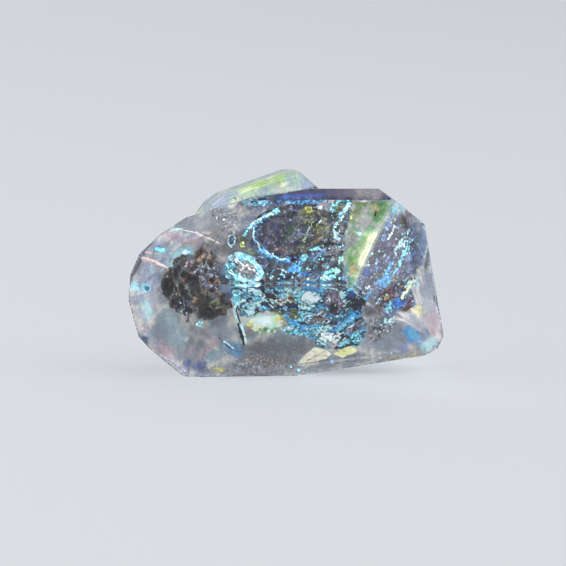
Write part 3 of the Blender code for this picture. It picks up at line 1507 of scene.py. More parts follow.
@dataclass
class BitumenLump(Inclusion):
    """Rugged solid bitumen: brown and black, with painted highlights on its ridges, painted shade in its
    hollows and a few glossy specks.
    """

    balls: tuple[Ball, ...] = (
        Ball((-5.25, -4.05, 5.55), (1.4, 1.15, 1.15)),
        Ball((-4.35, -3.9, 5.55), (0.7, 0.7, 0.6)),
        Ball((-6.85, -2.85, 6.75), (0.85, 0.8, 1.45)),
        Ball((-7.4, -2.1, 6.2), (0.8, 0.7, 1.25)),
        Ball((-5.7, -4.0, 7.0), (1.15, 0.85, 1.0)),
        Ball((-5.35, -3.6, 8.1), (0.6, 0.6, 0.65)),
        Ball((-6.4, -2.7, 5.2), (0.9, 0.9, 0.7)),
        Ball((-5.8, -2.6, 6.3), (1.3, 1.1, 1.2)),
    )
    grain: float = 0.07 * MM
    swell: float = 0.1
    swell_waves: float = 1.1 / MM
    ridge_height: float = 0.4 * MM
    ridge_waves: float = 0.95 / MM
    pit_height: float = 0.09 * MM
    # The bitumen's second number is the strength of its painted glow
    finish: TintedFinish = TintedFinish("bitumen", 0.2, 0.3, 9000, 0.45, 0.03)
    mottle: Mottle = Mottle(
        (Hue.TAR, Hue.UMBER, Hue.TAR, Hue.UMBER), 7.0, 1.0, 0.7,
        spots=painted(
            (204, 256, 10, 11, Hue.GOLD, 0.75, 0, 0.7),
            (206, 256, 4, 5, Hue.MAUVE, 0.8, 0, 0.5),
            (206, 272, 20, 11, Hue.MAUVE, 0.9, -10, 1.0),
            (188, 277, 6, 8, Hue.RUST, 0.6, 20, 0.9),
            (179, 272, 5, 9, Hue.SLATE, 0.8, 0, 0.5),
            (170, 290, 9, 22, Hue.UMBER, 0.7, 0, 1.2),
            (214, 302, 20, 16, Hue.TAR, 0.9, 0, 0.9),
            (198, 300, 6, 12, Hue.GOLD, 0.6, 0, 0.9),
            (216, 305, 8, 7, Hue.OLIVE, 0.45, 0, 0.8),
            (184, 306, 10, 6, Hue.NAVY, 0.8, 0, 1.3),
            (228, 282, 8, 7, Hue.TAUPE, 0.7, 0, 1.0),
            # The tan, rust, gold and fog strokes along the curved ridges are lighter bitumen with painted
            # highlights on it
            (((196, 264), (193.5, 255), (198, 247), (207, 246), (213, 252), (212, 261)), 2.4, Hue.INK, 0.9),
            (((199, 258), (201, 251), (207, 250), (210, 255)), 1.3, Hue.TAN, 0.9),
            (((203, 263), (207, 259), (206, 254)), 1.4, Hue.TAR, 0.9),
            (((204, 262), (209, 267), (216, 272)), 1.8, Hue.TAR, 0.9),
            (((192, 305), (193, 295), (203, 288), (216, 287), (226, 292), (229, 301)), 2.0, Hue.INK, 0.9),
            (((198, 304), (200, 296), (208, 292), (218, 293), (223, 300)), 1.5, Hue.RUST, 0.8),
            (((203, 304), (206, 298), (213, 297), (217, 302)), 1.4, Hue.INK, 0.9),
            (((195, 309), (200, 316), (209, 319), (221, 316), (229, 310)), 2.6, Hue.INK, 0.95),
            (((199, 311), (206, 314), (216, 312), (225, 307)), 1.7, Hue.RUST, 0.8),
            (((206, 321), (216, 319), (226, 314)), 1.5, Hue.GOLD, 0.6),
            (((164, 270), (162, 284), (164, 298), (171, 309)), 2.0, Hue.INK, 0.9),
            (((168, 268), (167, 280), (169, 292), (168, 302)), 1.5, Hue.TAN, 0.8),
            (((172, 270), (172, 284), (175, 296), (180, 306)), 2.0, Hue.INK, 0.9),
            (((176, 272), (177, 284), (173, 292), (170, 298)), 1.3, Hue.FOG, 0.8),
            (((178, 298), (184, 290), (191, 287)), 1.3, Hue.FOG, 0.7),
            (((180, 300), (187, 293), (194, 291)), 2.0, Hue.INK, 0.9),
            (((184, 268), (190, 263), (196, 265)), 1.3, Hue.ROSE, 0.8),
            (((186, 288), (192, 283), (200, 286), (210, 283)), 1.8, Hue.INK, 0.85),
            (((200, 284), (210, 281), (220, 284), (227, 289)), 1.2, Hue.FOG, 0.7),
        ),
        grains=(
            Grain((Hue.TAR, Hue.INK), 3.4, 0.22, 1.8, 70),
            Grain(
                (Hue.TAUPE, Hue.FOG, Hue.MIST), 2.4, 0.3, 1.4, 60,
                Spot((204, 273), (20, 10), Hue.GREY, 0.9),
            ),
            Grain((Hue.RUST, Hue.TAN), 3.0, 0.08, 2.4, 40),
        ),
        veins=0.5,
    )

    def skin_over(self) -> Piece:
        """Joins the lobes in one closed fine mesh.

        Returns:
            The object.
        """
        bm = bmesh.new()
        for ball in self.balls:
            size = Matrix.Diagonal([radius * MM for radius in ball.radii] + [1.0])
            place = Matrix.Translation(Vector(ball.centre) * MM) @ size
            made = bmesh.ops.create_icosphere(bm, subdivisions=4, radius=1.0)
            for vert in made["verts"]:
                wave = noise.noise(place @ vert.co * self.swell_waves)
                vert.co = place @ (vert.co * (1 + self.swell * wave))
        lump = put_in_scene("bitumen_lump_detail", mesh_of("bitumen_lump_detail", bm))
        remesh = lump.modifiers.new("Skin", "REMESH")
        remesh.mode = "VOXEL"
        remesh.voxel_size = self.grain
        apply_modifiers(lump)
        return lump

    def build(self) -> Piece:
        """Makes the lump.

        Returns:
            The object.
        """
        lump = self.skin_over()
        mesh = lump.data
        normals = [vert.normal.copy() for vert in mesh.vertices]
        tints = []
        for vert, normal in zip(mesh.vertices, normals):
            place = vert.co * self.ridge_waves
            ridge = 1 - 2.2 * abs(noise.noise(place) + 0.35 * noise.noise(place * 2.3))
            pits = noise.noise(vert.co * 6 / MM)
            tints.append(self.tint(self.sight.pixel_of(vert.co), ridge, pits))
            vert.co += normal * ((ridge - 0.75) * self.ridge_height + pits * self.pit_height)
        paint_points(mesh, tints)
        mesh.materials.clear()
        mesh.materials.append(self.finish.make())
        mesh.shade_smooth()
        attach(lump, "root")
        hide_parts("bitumen_lump")
        return lump

    def tint(self, spot: Pixel, ridge: float, pits: float) -> Tint:
        """Gives a point's colour, with painted highlights on ridges and painted shade, near black, in
        hollows.

        Args:
            spot: Where it shows.
            ridge: How high it stands on a ridge, about 0 to 1.
            pits: A finer unevenness, around 0.

        Returns:
            Red, green, blue and cover.
        """
        base = Vector(self.mottle.tint(spot, seed=2.0)[:3])
        # Painted light: ridges are lightened and greyed as if lit, and hollows darkened towards black as if
        # shaded
        light = smooth_step(0.6, 0.95, ridge + 0.5 * pits)
        dark = 1 - smooth_step(0.1, 0.65, ridge + 0.5 * pits)
        base = (base * (0.75 + 1.7 * light)).lerp(Hue.STONE.light, 0.32 * light)
        return (*base.lerp(Hue.TAR.light, 0.8 * dark), 1.0)


@dataclass
class OilPocket(Inclusion):
    """A flattened pocket that is filled with oil and lies along a front face.

    centre and radii are in millimetres: along the crystal, up the slope and through the face.
    """

    name: str
    node: str
    slot: str
    centre: tuple[float, float, float]
    radii: tuple[float, float, float]
    turn: float
    mottle: Mottle
    finish: TintedFinish
    roll: float = 0.0
    ripple: float = 0.06
    ripple_waves: float = 1.6 / MM

    def placement(self) -> Matrix:
        """Returns the matrix that takes a unit ball to the pocket."""
        scale = Matrix.Diagonal([radius * MM for radius in self.radii] + [1.0])
        roll = Matrix.Rotation(math.radians(self.roll), 4, "Z")
        slope = Matrix.Rotation(math.radians(self.turn), 4, "X")
        return Matrix.Translation(Vector(self.centre) * MM) @ slope @ roll @ scale

    def blank(self) -> bmesh.types.BMesh:
        """Returns the pocket's shape around the origin, one unit in radius."""
        bm = bmesh.new()
        bmesh.ops.create_icosphere(bm, subdivisions=6, radius=1.0)
        return bm

    def build(self) -> Piece:
        """Makes the pocket's filling.

        Returns:
            The object.
        """
        place = self.placement()
        bm = self.blank()
        for vert in bm.verts:
            wave = noise.noise(place @ vert.co * self.ripple_waves)
            vert.co = place @ (vert.co * (1 + self.ripple * wave))
        mesh = mesh_of(self.name, bm)
        spots = [self.sight.pixel_of(vert.co) for vert in mesh.vertices]
        paint_points(mesh, [self.mottle.tint(spot, seed=4.0) for spot in spots])
        mesh.materials.append(self.finish.make())
        mesh.shade_smooth()
        piece = put_in_scene(self.name, mesh)
        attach(piece, "root")
        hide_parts(self.node)
        return piece


@dataclass
class AngularPocket(OilPocket):
    """A pocket with flat sides, like a hollow crystal, narrower at its back."""

    outline: tuple[Pixel, ...] = (
        (-1.0, 0.55), (-0.4, 1.0), (0.35, 0.6), (1.0, 0.0), (0.85, -0.7), (-0.2, -0.95),
    )
    taper: float = 0.7
    edge: float = 0.14
    cuts: int = 4

    def blank(self) -> bmesh.types.BMesh:
        """Returns the pocket's shape around the origin, one unit in half size."""
        bm = bmesh.new()
        front = [bm.verts.new((x, y, 1.0)) for x, y in self.outline]
        back = [bm.verts.new((x * self.taper, y * self.taper, -1.0)) for x, y in self.outline]
        bm.faces.new(front)
        bm.faces.new(back[::-1])
        count = len(front)
        for corner in range(count):
            after = (corner + 1) % count
            bm.faces.new((front[after], front[corner], back[corner], back[after]))
        bmesh.ops.recalc_face_normals(bm, faces=bm.faces[:])
        bmesh.ops.bevel(bm, geom=bm.edges[:], offset=self.edge, segments=2, profile=0.5, affect="EDGES")
        bmesh.ops.triangulate(bm, faces=bm.faces[:])
        for _ in range(self.cuts):
            bmesh.ops.subdivide_edges(bm, edges=bm.edges[:], cuts=1, use_grid_fill=True)
        return bm


# The clear crystal


@dataclass
class ClearCrystal:
    """Both crystals, grown together in one clear solid."""

    main: CrystalForm = MAIN_FORM
    companion: CrystalForm = COMPANION_FORM
    wear: float = 0.07 * MM
    wear_steps: int = 2
    wear_limit: float = math.radians(6)
    finish: QuartzFinish = QuartzFinish()

    def worn(self, name: str, form: CrystalForm) -> Piece:
        """Makes one crystal with worn edges.

        Args:
            name: The object's name.
            form: The crystal.

        Returns:
            The object.
        """
        piece = put_in_scene(name, mesh_of(name, form.cut()))
        bevel = piece.modifiers.new("Wear", "BEVEL")
        bevel.width = self.wear
        bevel.segments = self.wear_steps
        bevel.limit_method = "ANGLE"
        bevel.angle_limit = self.wear_limit
        apply_modifiers(piece)
        return piece

    def build(self) -> Piece:
        """Makes the clear solid.

        Returns:
            The object.
        """
        crystal = self.worn("clear_quartz", self.main)
        companion = self.worn("companion", self.companion)
        union = crystal.modifiers.new("Grown together", "BOOLEAN")
        union.operation = "UNION"
        union.object = companion
        apply_modifiers(crystal)
        bpy.data.objects.remove(companion, do_unlink=True)
        crystal.data.materials.clear()
        crystal.data.materials.append(self.finish.make())
        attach(crystal, "root")
        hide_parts("quartz_front", "quartz_back")
        crystal.visible_shadow = False
        return crystal


# What lies where, in pixels of the photograph


FACET_SPOTS = painted(
    (394, 256, 30, 46, Hue.PLUM, 0.75, -10, 0.9),
    (416, 246, 11, 34, Hue.SLATE, 0.75, -8, 0.3),
    (402, 219, 8, 10, Hue.RUST, 0.6, -30, 0.9),
    (394, 208, 8, 6, Hue.CYAN, 0.7, -40, 0.3),
    (389, 222, 5, 9, Hue.PERI, 0.8, -25, 0.3),
    (383, 243, 8, 11, Hue.VIOLET, 0.6, -25, 1.1),
    (372, 258, 9, 10, Hue.UMBER, 0.5, -25, 1.0),
    (384, 281, 6, 10, Hue.SKY, 0.9, -35, 0.6),
    (368, 272, 10, 8, Hue.SLATE, 0.8, 0, 1.0),
    (408, 286, 5, 14, Hue.ICE, 0.85, -35, 0.5),
    (399, 283, 3, 9, Hue.TAR, 0.6, -35, 0.8),
    (387, 296, 7, 7, Hue.RUST, 0.9, 0, 0.9),
    (399, 304, 9, 6, Hue.BLUE, 0.8, 10, 0.8),
    (408, 307, 5, 5, Hue.RUST, 0.7, 0, 0.8),
    (420, 311, 7, 7, Hue.YELLOW, 0.6, 30, 0.5),
    (423, 243, 4, 20, Hue.PERI, 0.5, -6, 0.2),
    (427, 262, 3, 12, Hue.NAVY, 0.8, -8, 0.3),
    (428, 300, 9, 34, Hue.MIST, 0.7, -12, 0.15),
    (434, 322, 8, 18, Hue.ROSE, 0.6, -5, 0.1),
)

BAND_SPOTS = painted(
    (262, 287, 30, 3, Hue.TEAL, 0.8, 0, 0.4),
    (233, 296, 7, 9, Hue.SLATE, 0.9, 0, 1.1),
    (258, 298, 14, 10, Hue.CYAN, 0.6, 30, 0.8),
    (273, 296, 14, 9, Hue.TEAL, 0.8, 0, 1.2),
    (288, 292, 10, 5, Hue.ICE, 0.9, 0, 0.8),
    (309, 294, 18, 9, Hue.SKY, 1.0, 0, 0.7),
    (305, 313, 13, 8, Hue.CYAN, 0.9, 30, 0.9),
    (288, 306, 15, 5, Hue.NAVY, 0.9, -10, 1.0),
    (278, 312, 9, 3.5, Hue.OLIVE, 0.8, -10, 0.9),
    (295, 316, 6, 5, Hue.OLIVE, 0.6, 0, 0.9),
    (334, 301, 12, 15, Hue.MAUVE, 0.95, 0, 0.9),
    (334, 306, 6, 8, Hue.TAR, 0.7, -20, 0.8),
    (355, 300, 10, 11, Hue.NAVY, 0.95, 0, 1.0),
    (318, 320, 13, 6, Hue.TAUPE, 0.8, 5, 0.9),
    (343, 324, 18, 6, Hue.SKY, 0.95, 35, 0.5),
    (357, 328, 12, 5, Hue.MAUVE, 0.9, 32, 0.8),
    (300, 330, 20, 6, Hue.CYAN, 0.85, 0, 1.0),
    (326, 331, 11, 8, Hue.CYAN, 0.9, 15, 0.9),
    (332, 342, 18, 6, Hue.ICE, 0.8, 5, 0.4),
    (355, 339, 9, 9, Hue.CYAN, 0.9, 8, 0.9),
)

LOWER_SPOTS = painted(
    (372, 308, 15, 9, Hue.TAUPE, 0.9, 10, 0.3),
    (282, 346, 44, 12, Hue.GREY, 0.9, 5, 0.2),
    (300, 350, 22, 9, Hue.TAUPE, 0.6, 5, 0.2),
    (256, 348, 14, 6, Hue.TAUPE, 0.7, -10, 0.3),
    (383, 340, 26, 13, Hue.MIST, 0.9, 10, 0.25),
    (330, 362, 42, 6, Hue.GREY, 0.7, 10, 0.3),
    (240, 369, 36, 5, Hue.TAUPE, 0.8, 0, 1.0),
    (275, 362, 26, 8, Hue.TAUPE, 0.8, 0, 0.9),
    (398, 358, 26, 5, Hue.TAN, 0.6, 14, 0.8),
    (413, 335, 15, 8, Hue.SKY, 0.9, -35, 0.2),
    (415, 336, 8, 4, Hue.CYAN, 0.5, -35, 0.2),
    (402, 348, 9, 5, Hue.PERI, 0.7, 0, 0.2),
    (428, 345, 10, 6, Hue.ICE, 0.8, 35, 0.15),
)

BODY_SPOTS = painted(
    # The left end, smooth and pearly; its rose streaks are painted highlights along inner edges
    (176, 214, 26, 12, Hue.GREY, 0.7, 25),
    (206, 222, 36, 15, Hue.GREY, 0.75, 15, 0.15),
    (182, 238, 32, 7, Hue.ROSE, 0.6, -14, 0.1),
    (222, 236, 20, 8, Hue.TAUPE, 0.8, -20, 0.2),
    (246, 214, 20, 12, Hue.UMBER, 0.45, 10, 0.3),
    (246, 232, 14, 26, Hue.SLATE, 0.7, -20, 0.6),
    (266, 262, 20, 13, Hue.INK, 0.95, -30, 0.9),
    (240, 240, 15, 13, Hue.UMBER, 0.6, 0, 0.8),
    (236, 252, 22, 8, Hue.TAUPE, 0.95, -15, 0.4),
    (252, 252, 9, 6, Hue.OLIVE, 0.4, -30, 0.5),
    (185, 254, 16, 9, Hue.ICE, 0.95, 0, 0.1),
    (161, 249, 9, 5, Hue.BLUE, 0.6),
    (150, 261, 13, 5, Hue.ROSE, 0.9, -20, 0.1),
    (150, 280, 11, 24, Hue.LAVENDER, 0.8, 0, 0.1),
    (139, 287, 11, 6, Hue.CYAN, 0.6),
    (146, 312, 9, 13, Hue.ICE, 0.7, 10, 0.1),
    (144, 341, 5, 7, Hue.SLATE, 0.95, -30, 0.5),
    (156, 334, 9, 12, Hue.MIST, 0.9, -20, 0.1),
    (165, 322, 12, 14, Hue.FOG, 0.8, -20, 0.1),
    (178, 336, 14, 16, Hue.FOG, 0.8, 30, 0.15),
    (166, 352, 14, 7, Hue.ROSE, 0.7, -35, 0.1),
    (200, 338, 9, 22, Hue.TAUPE, 0.5, -40, 0.15),
    (210, 346, 5, 24, Hue.ROSE, 0.7, -44, 0.1),
    (222, 332, 13, 10, Hue.MIST, 0.8, 0, 0.15),
    (214, 356, 13, 7, Hue.FOG, 0.9, 25, 0.3),
    (200, 367, 9, 6, Hue.ROYAL, 0.7, 10, 0.9),
    (236, 350, 12, 8, Hue.SKY, 0.6, -20, 0.3),
    # Around the lump
    (204, 268, 26, 14, Hue.UMBER, 0.5, -10, 1.0),
    (178, 288, 18, 24, Hue.UMBER, 0.5, 0, 1.0),
    (228, 272, 9, 8, Hue.MAUVE, 0.7, 0, 0.6),
    # The upper front face
    (262, 206, 26, 7, Hue.SLATE, 0.8, 5, 0.8),
    (305, 204, 26, 6, Hue.PLUM, 0.7, 0, 1.0),
    (338, 226, 13, 30, Hue.SLATE, 0.8, -20, 0.9),
    (362, 225, 17, 24, Hue.SAGE, 0.8, -20, 0.2),
    (380, 205, 12, 7, Hue.MOSS, 0.9, 0, 0.3),
    (350, 264, 9, 14, Hue.MOSS, 0.7, -15, 0.4),
    (306, 262, 50, 12, Hue.SLATE, 0.8, 0, 0.9),
    (282, 273, 30, 10, Hue.INK, 0.8, 0, 1.0),
)

BODY_MOTTLE = Mottle(
    (Hue.STONE, Hue.MIST, Hue.PEARL, Hue.MIST, Hue.STONE), 26.0, 0.92, 0.12,
    spots=BODY_SPOTS + FACET_SPOTS + BAND_SPOTS + LOWER_SPOTS,
)

COMPANION_MOTTLE = Mottle(
    (Hue.MIST, Hue.FOG, Hue.MIST), 22.0, 0.95, 0.08,
    spots=painted(
        (264, 177, 34, 9, Hue.LIME, 0.9, 20, 0.12),
        (258, 180, 24, 5, Hue.LIME, 0.6, 20, 0.1),
        (286, 171, 14, 4, Hue.LIME, 0.6, 5, 0.1),
        (246, 192, 16, 5, Hue.CREAM, 0.8, 10, 0.06),
        (246, 187, 8, 3, Hue.ROSE, 0.7, 12, 0.06),
        (280, 184, 9, 4, Hue.ROSE, 0.6, 10, 0.06),
        (287, 190, 18, 4, Hue.CREAM, 0.7, 3, 0.06),
        (296, 181, 9, 8, Hue.SAGE, 0.9, 0, 0.06),
        (308, 184, 8, 7, Hue.LAVENDER, 0.9, 0, 0.06),
        (317, 187, 5, 4, Hue.GREY, 0.9, 0, 0.3),
        (226, 196, 18, 8, Hue.LAVENDER, 0.9, 30, 0.08),
        (232, 192, 9, 4, Hue.FOG, 0.9, 25, 0.08),
        (206, 208, 12, 6, Hue.FOG, 0.9, 45, 0.08),
    ),
)

COMPANION_TOP_MOTTLE = Mottle(
    (Hue.MIST, Hue.FOG, Hue.LAVENDER), 18.0, 0.45, 0.15,
    spots=painted((258, 200, 40, 20, Hue.SAGE, 0.9, 18, 0.3), (266, 196, 36, 14, Hue.LIME, 0.8, 18, 0.2)),
    grains=(Grain((Hue.SAGE, Hue.CREAM), 9.0, 0.2, 2.4, 20), Grain((Hue.MOSS,), 5.0, 0.06, 1.6, -20)),
)

# The fine mottling where the oil is thick

FACET_MOTTLE = Mottle(
    (Hue.SLATE, Hue.TAUPE, Hue.PLUM, Hue.TAUPE, Hue.SLATE), 14.0, 1.0, 0.6, spots=FACET_SPOTS,
    grains=(
        Grain((Hue.PLUM, Hue.VIOLET, Hue.INK), 6.5, 0.24, 1.6, 55),
        Grain((Hue.SLATE, Hue.PERI), 6.0, 0.14, 2.2, 58),
        Grain((Hue.UMBER, Hue.TAN), 4.0, 0.06, 1.5, 40),
        Grain((Hue.SKY, Hue.PERI), 3.6, 0.05, 2.2, 55),
        Grain((Hue.INK,), 2.2, 0.14, 2.0, 50),
        Grain((Hue.CYAN, Hue.ICE), 2.2, 0.05, 1.6, 60),
        Grain((Hue.CYAN, Hue.WHITE), 2.2, 0.18, 2.2, 58, Spot((403, 248), (6, 24), Hue.SKY, 1.0, -25)),
        Grain((Hue.CYAN, Hue.ICE), 2.4, 0.14, 2.0, 50, Spot((385, 276), (7, 14), Hue.SKY, 1.0, -35)),
    ),
    veins=0.5,
    marks=painted(
        (396, 208, 5.5, 4.5, Hue.CYAN, 0.9, 0, 0.4),
        (403, 222, 4.5, 9, Hue.UMBER, 0.8, 30, 0.7),
        (412, 223, 4, 8, Hue.BLUE, 0.7, 30, 0.6),
        (((394, 226), (391, 233), (388, 240)), 2.2, Hue.WHITE, 0.9, 0.9),
        (((386, 235), (381, 240)), 2.6, Hue.PERI, 0.9, 0.6),
        (((408, 231), (401, 242), (395, 252)), 3.4, Hue.ICE, 0.9, 0.9),
        (((411, 240), (404, 252), (399, 266)), 3.0, Hue.CYAN, 0.85, 0.9),
        (374, 246, 2.6, 3, Hue.INK, 0.9),
        (379, 248, 5, 6, Hue.PLUM, 0.9, -20, 0.8),
        (417, 299, 2.6, 4, Hue.ICE, 0.9),
        (((383, 266), (378, 276), (371, 284)), 3.6, Hue.NAVY, 0.7, 0.9),
        (((392, 264), (387, 273), (380, 286)), 5.5, Hue.SKY, 0.9, 0.8),
        (((397, 268), (392, 277), (388, 284)), 1.8, Hue.CYAN, 0.8, 0.9),
        (362, 274, 8, 9, Hue.SLATE, 0.9, 0, 0.9),
        (366, 272, 4, 3, Hue.ROYAL, 0.8, 0, 0.6),
        (368, 265, 2, 1.8, Hue.ICE, 0.9),
        (376, 263, 1.8, 1.8, Hue.WHITE, 0.9),
        (372, 254, 2, 1.6, Hue.ICE, 0.9),
        (379, 252, 1.6, 1.6, Hue.ICE, 0.9),
        (368, 287, 2.6, 3, Hue.WHITE, 1.0),
        (386.5, 298, 5, 5.5, Hue.UMBER, 0.9, 0, 1.0),
        (387, 297, 3, 3, Hue.TAN, 0.9, 0, 0.6),
        (397, 304, 5, 5, Hue.BLUE, 0.9, 0, 0.8),
        (390, 306, 2.6, 5, Hue.CYAN, 0.9, 10, 0.4),
        (((399, 296), (405, 286), (411, 277)), 2.0, Hue.UMBER, 0.9, 0.6),
        (((402, 298), (408, 288), (414, 278)), 3.0, Hue.CREAM, 0.95),
        (407, 309, 5, 3, Hue.UMBER, 0.8, 0, 0.7),
    ),
)

BAND_MOTTLE = Mottle(
    (Hue.SLATE, Hue.TEAL, Hue.SKY, Hue.TEAL, Hue.PLUM), 13.0, 1.0, 0.5, spots=BAND_SPOTS,
    grains=(
        Grain((Hue.NAVY, Hue.INK), 7.0, 0.3, 2.2, -6),
        Grain((Hue.SKY, Hue.CYAN), 5.0, 0.16, 2.0, 10),
        Grain((Hue.TAUPE, Hue.FOG), 4.0, 0.1, 1.6, 30),
        Grain((Hue.CYAN, Hue.ICE), 3.2, 0.3, 1.4, 20, Spot((304, 330), (28, 7), Hue.SKY, 0.9, 2)),
        Grain((Hue.INK,), 2.1, 0.13, 3.5, -40, Spot((256, 304), (38, 24), Hue.INK, 1.0)),
        Grain((Hue.ICE, Hue.WHITE), 1.9, 0.1, 4.0, -42, Spot((258, 302), (46, 22), Hue.INK, 1.0)),
        Grain((Hue.INK,), 2.2, 0.14, 3.0, 36, Spot((338, 318), (46, 30), Hue.INK, 1.0)),
        Grain((Hue.ICE, Hue.WHITE), 2.0, 0.09, 3.5, 38, Spot((338, 320), (44, 28), Hue.INK, 1.0)),
        Grain((Hue.INK,), 2.4, 0.08, 1.4, 0),
    ),
    veins=0.6,
    marks=painted(
        (236, 298, 9, 10, Hue.CYAN, 0.9, 0, 1.0),
        (((230, 293), (236, 291), (243, 293)), 1.5, Hue.ICE, 0.9),
        (((231, 299), (238, 297.5), (243, 300)), 1.3, Hue.CYAN, 0.9),
        (((246, 290), (253, 290), (260, 294), (264, 299), (259, 304), (252, 304)), 6.0, Hue.ICE, 1.0),
        (((249, 288.5), (256, 289), (262, 293), (267, 299)), 1.3, Hue.WHITE, 0.9),
        (249, 309, 7.5, 7, Hue.ICE, 1.0),
        (((243, 306), (249, 305.5), (256, 306)), 0.9, Hue.CYAN, 0.8),
        (((243, 311), (250, 310), (256, 311)), 0.9, Hue.CYAN, 0.8),
        (248.5, 299, 5, 2.8, Hue.NAVY, 1.0, 10, 0.5),
        (((243, 298.5), (247, 296), (253, 297.5), (254, 300)), 1.0, Hue.ICE, 0.9),
        (((261, 288), (266, 294), (273, 299)), 2.2, Hue.INK, 0.9),
        (((265, 287), (271, 292), (278, 296)), 1.5, Hue.ICE, 0.9),
        (((270, 287), (275, 291), (281, 294)), 1.8, Hue.NAVY, 0.9),
        (((275, 287), (279, 290), (284, 292)), 1.4, Hue.CYAN, 0.9),
        (287, 290, 4, 3, Hue.ICE, 0.9),
        (((262, 303), (272, 306), (283, 307), (293, 305), (300, 307)), 4.5, Hue.NAVY, 0.95, 0.8),
        (((264, 301), (273, 303), (282, 305)), 1.1, Hue.ICE, 0.9),
        (((284, 309), (291, 309.5), (299, 309)), 1.2, Hue.SKY, 0.9),
        (281, 301, 6, 4, Hue.PEARL, 1.0, 5),
        (281, 301, 3.6, 2.2, Hue.PLUM, 1.0, 5, 0.4),
        (291.5, 298.5, 5.8, 4.2, Hue.CREAM, 1.0),
        (291.5, 298.5, 4, 2.7, Hue.GOLD, 1.0, 0, 0.5),
        (276, 312, 7, 2.8, Hue.OLIVE, 0.9, -6, 0.8),
        (295, 314, 5, 6, Hue.OLIVE, 0.9, 0, 0.6),
        (309, 291, 14, 5.5, Hue.SKY, 1.0, 0, 0.5),
        (299, 293, 6, 6, Hue.ICE, 0.95, 0, 0.6),
        (307, 307, 11, 6, Hue.ICE, 0.9, 0, 0.9),
        (307, 298, 15, 8, Hue.CYAN, 1.0, 0, 0.4),
        (310, 298, 10, 6, Hue.WHITE, 1.0, 0, 0.1),
        (((320, 288), (322, 294), (321, 301)), 1.6, Hue.CYAN, 0.9),
        (334, 301, 11, 13, Hue.MAUVE, 0.9, 0, 0.9),
        (333, 307, 5, 6.5, Hue.TAR, 0.85, 0, 0.9),
        (((323, 289), (330, 287.5), (337, 289)), 2.2, Hue.ICE, 0.9, 1.0),
        (354, 303, 8.5, 8.5, Hue.INK, 1.0, 0, 0.6),
        (351, 294, 3.6, 4.6, Hue.ROYAL, 0.9, 0, 0.5),
        (342.5, 295, 3.2, 5, Hue.ICE, 1.0),
        (357, 290, 3.4, 4, Hue.ICE, 1.0),
        (368, 288, 2.8, 3.2, Hue.ICE, 1.0),
        (366, 294, 6, 3, Hue.CYAN, 0.9, 0, 1.0),
        (317, 321, 9, 4, Hue.TAUPE, 0.8, 10, 0.6),
        (((306, 317), (313, 314.5), (320, 315)), 1.0, Hue.WHITE, 0.9),
        (((318, 312), (323, 316), (328, 321)), 1.1, Hue.ROSE, 0.9),
        (322, 311, 3, 2.6, Hue.TAN, 0.9, 0, 0.4),
        (290, 328, 7, 4.5, Hue.ICE, 0.85, 0, 1.1),
        (304, 328, 7, 4.5, Hue.SKY, 0.8, 0, 1.0),
        (326, 329, 8, 6, Hue.ICE, 0.95, 20, 0.8),
        (((331, 334), (340, 326), (349, 319), (357, 314)), 6.5, Hue.SKY, 1.0, 0.5),
        (((336, 333), (345, 325), (354, 318)), 2.0, Hue.CYAN, 0.9),
        (((333, 334), (342, 326), (351, 319)), 1.5, Hue.CYAN, 0.9),
        (((346, 331), (355, 325), (365, 319)), 3.2, Hue.MAUVE, 0.95, 0.7),
        (((343, 330), (352, 324), (363, 317)), 1.3, Hue.INK, 0.9),
        (((350, 333), (360, 327), (368, 322)), 1.6, Hue.RUST, 0.8, 0.6),
        (333, 345, 6, 3.5, Hue.ROSE, 0.9),
        (320, 341, 4.5, 4, Hue.ICE, 0.9),
        (331, 338, 12, 7, Hue.WHITE, 0.95, 0, 0.5),
        (356, 339, 7.5, 6, Hue.CYAN, 0.95, 0, 0.9),
        (((350, 341), (356, 337), (363, 334)), 1.1, Hue.INK, 0.8),
        (
            ((311, 340), (316, 344.5), (323, 347), (331, 350), (339, 348.5), (347, 345.5), (352, 343)), 1.9,
            Hue.INK, 1.0,
        ),
    ),
)

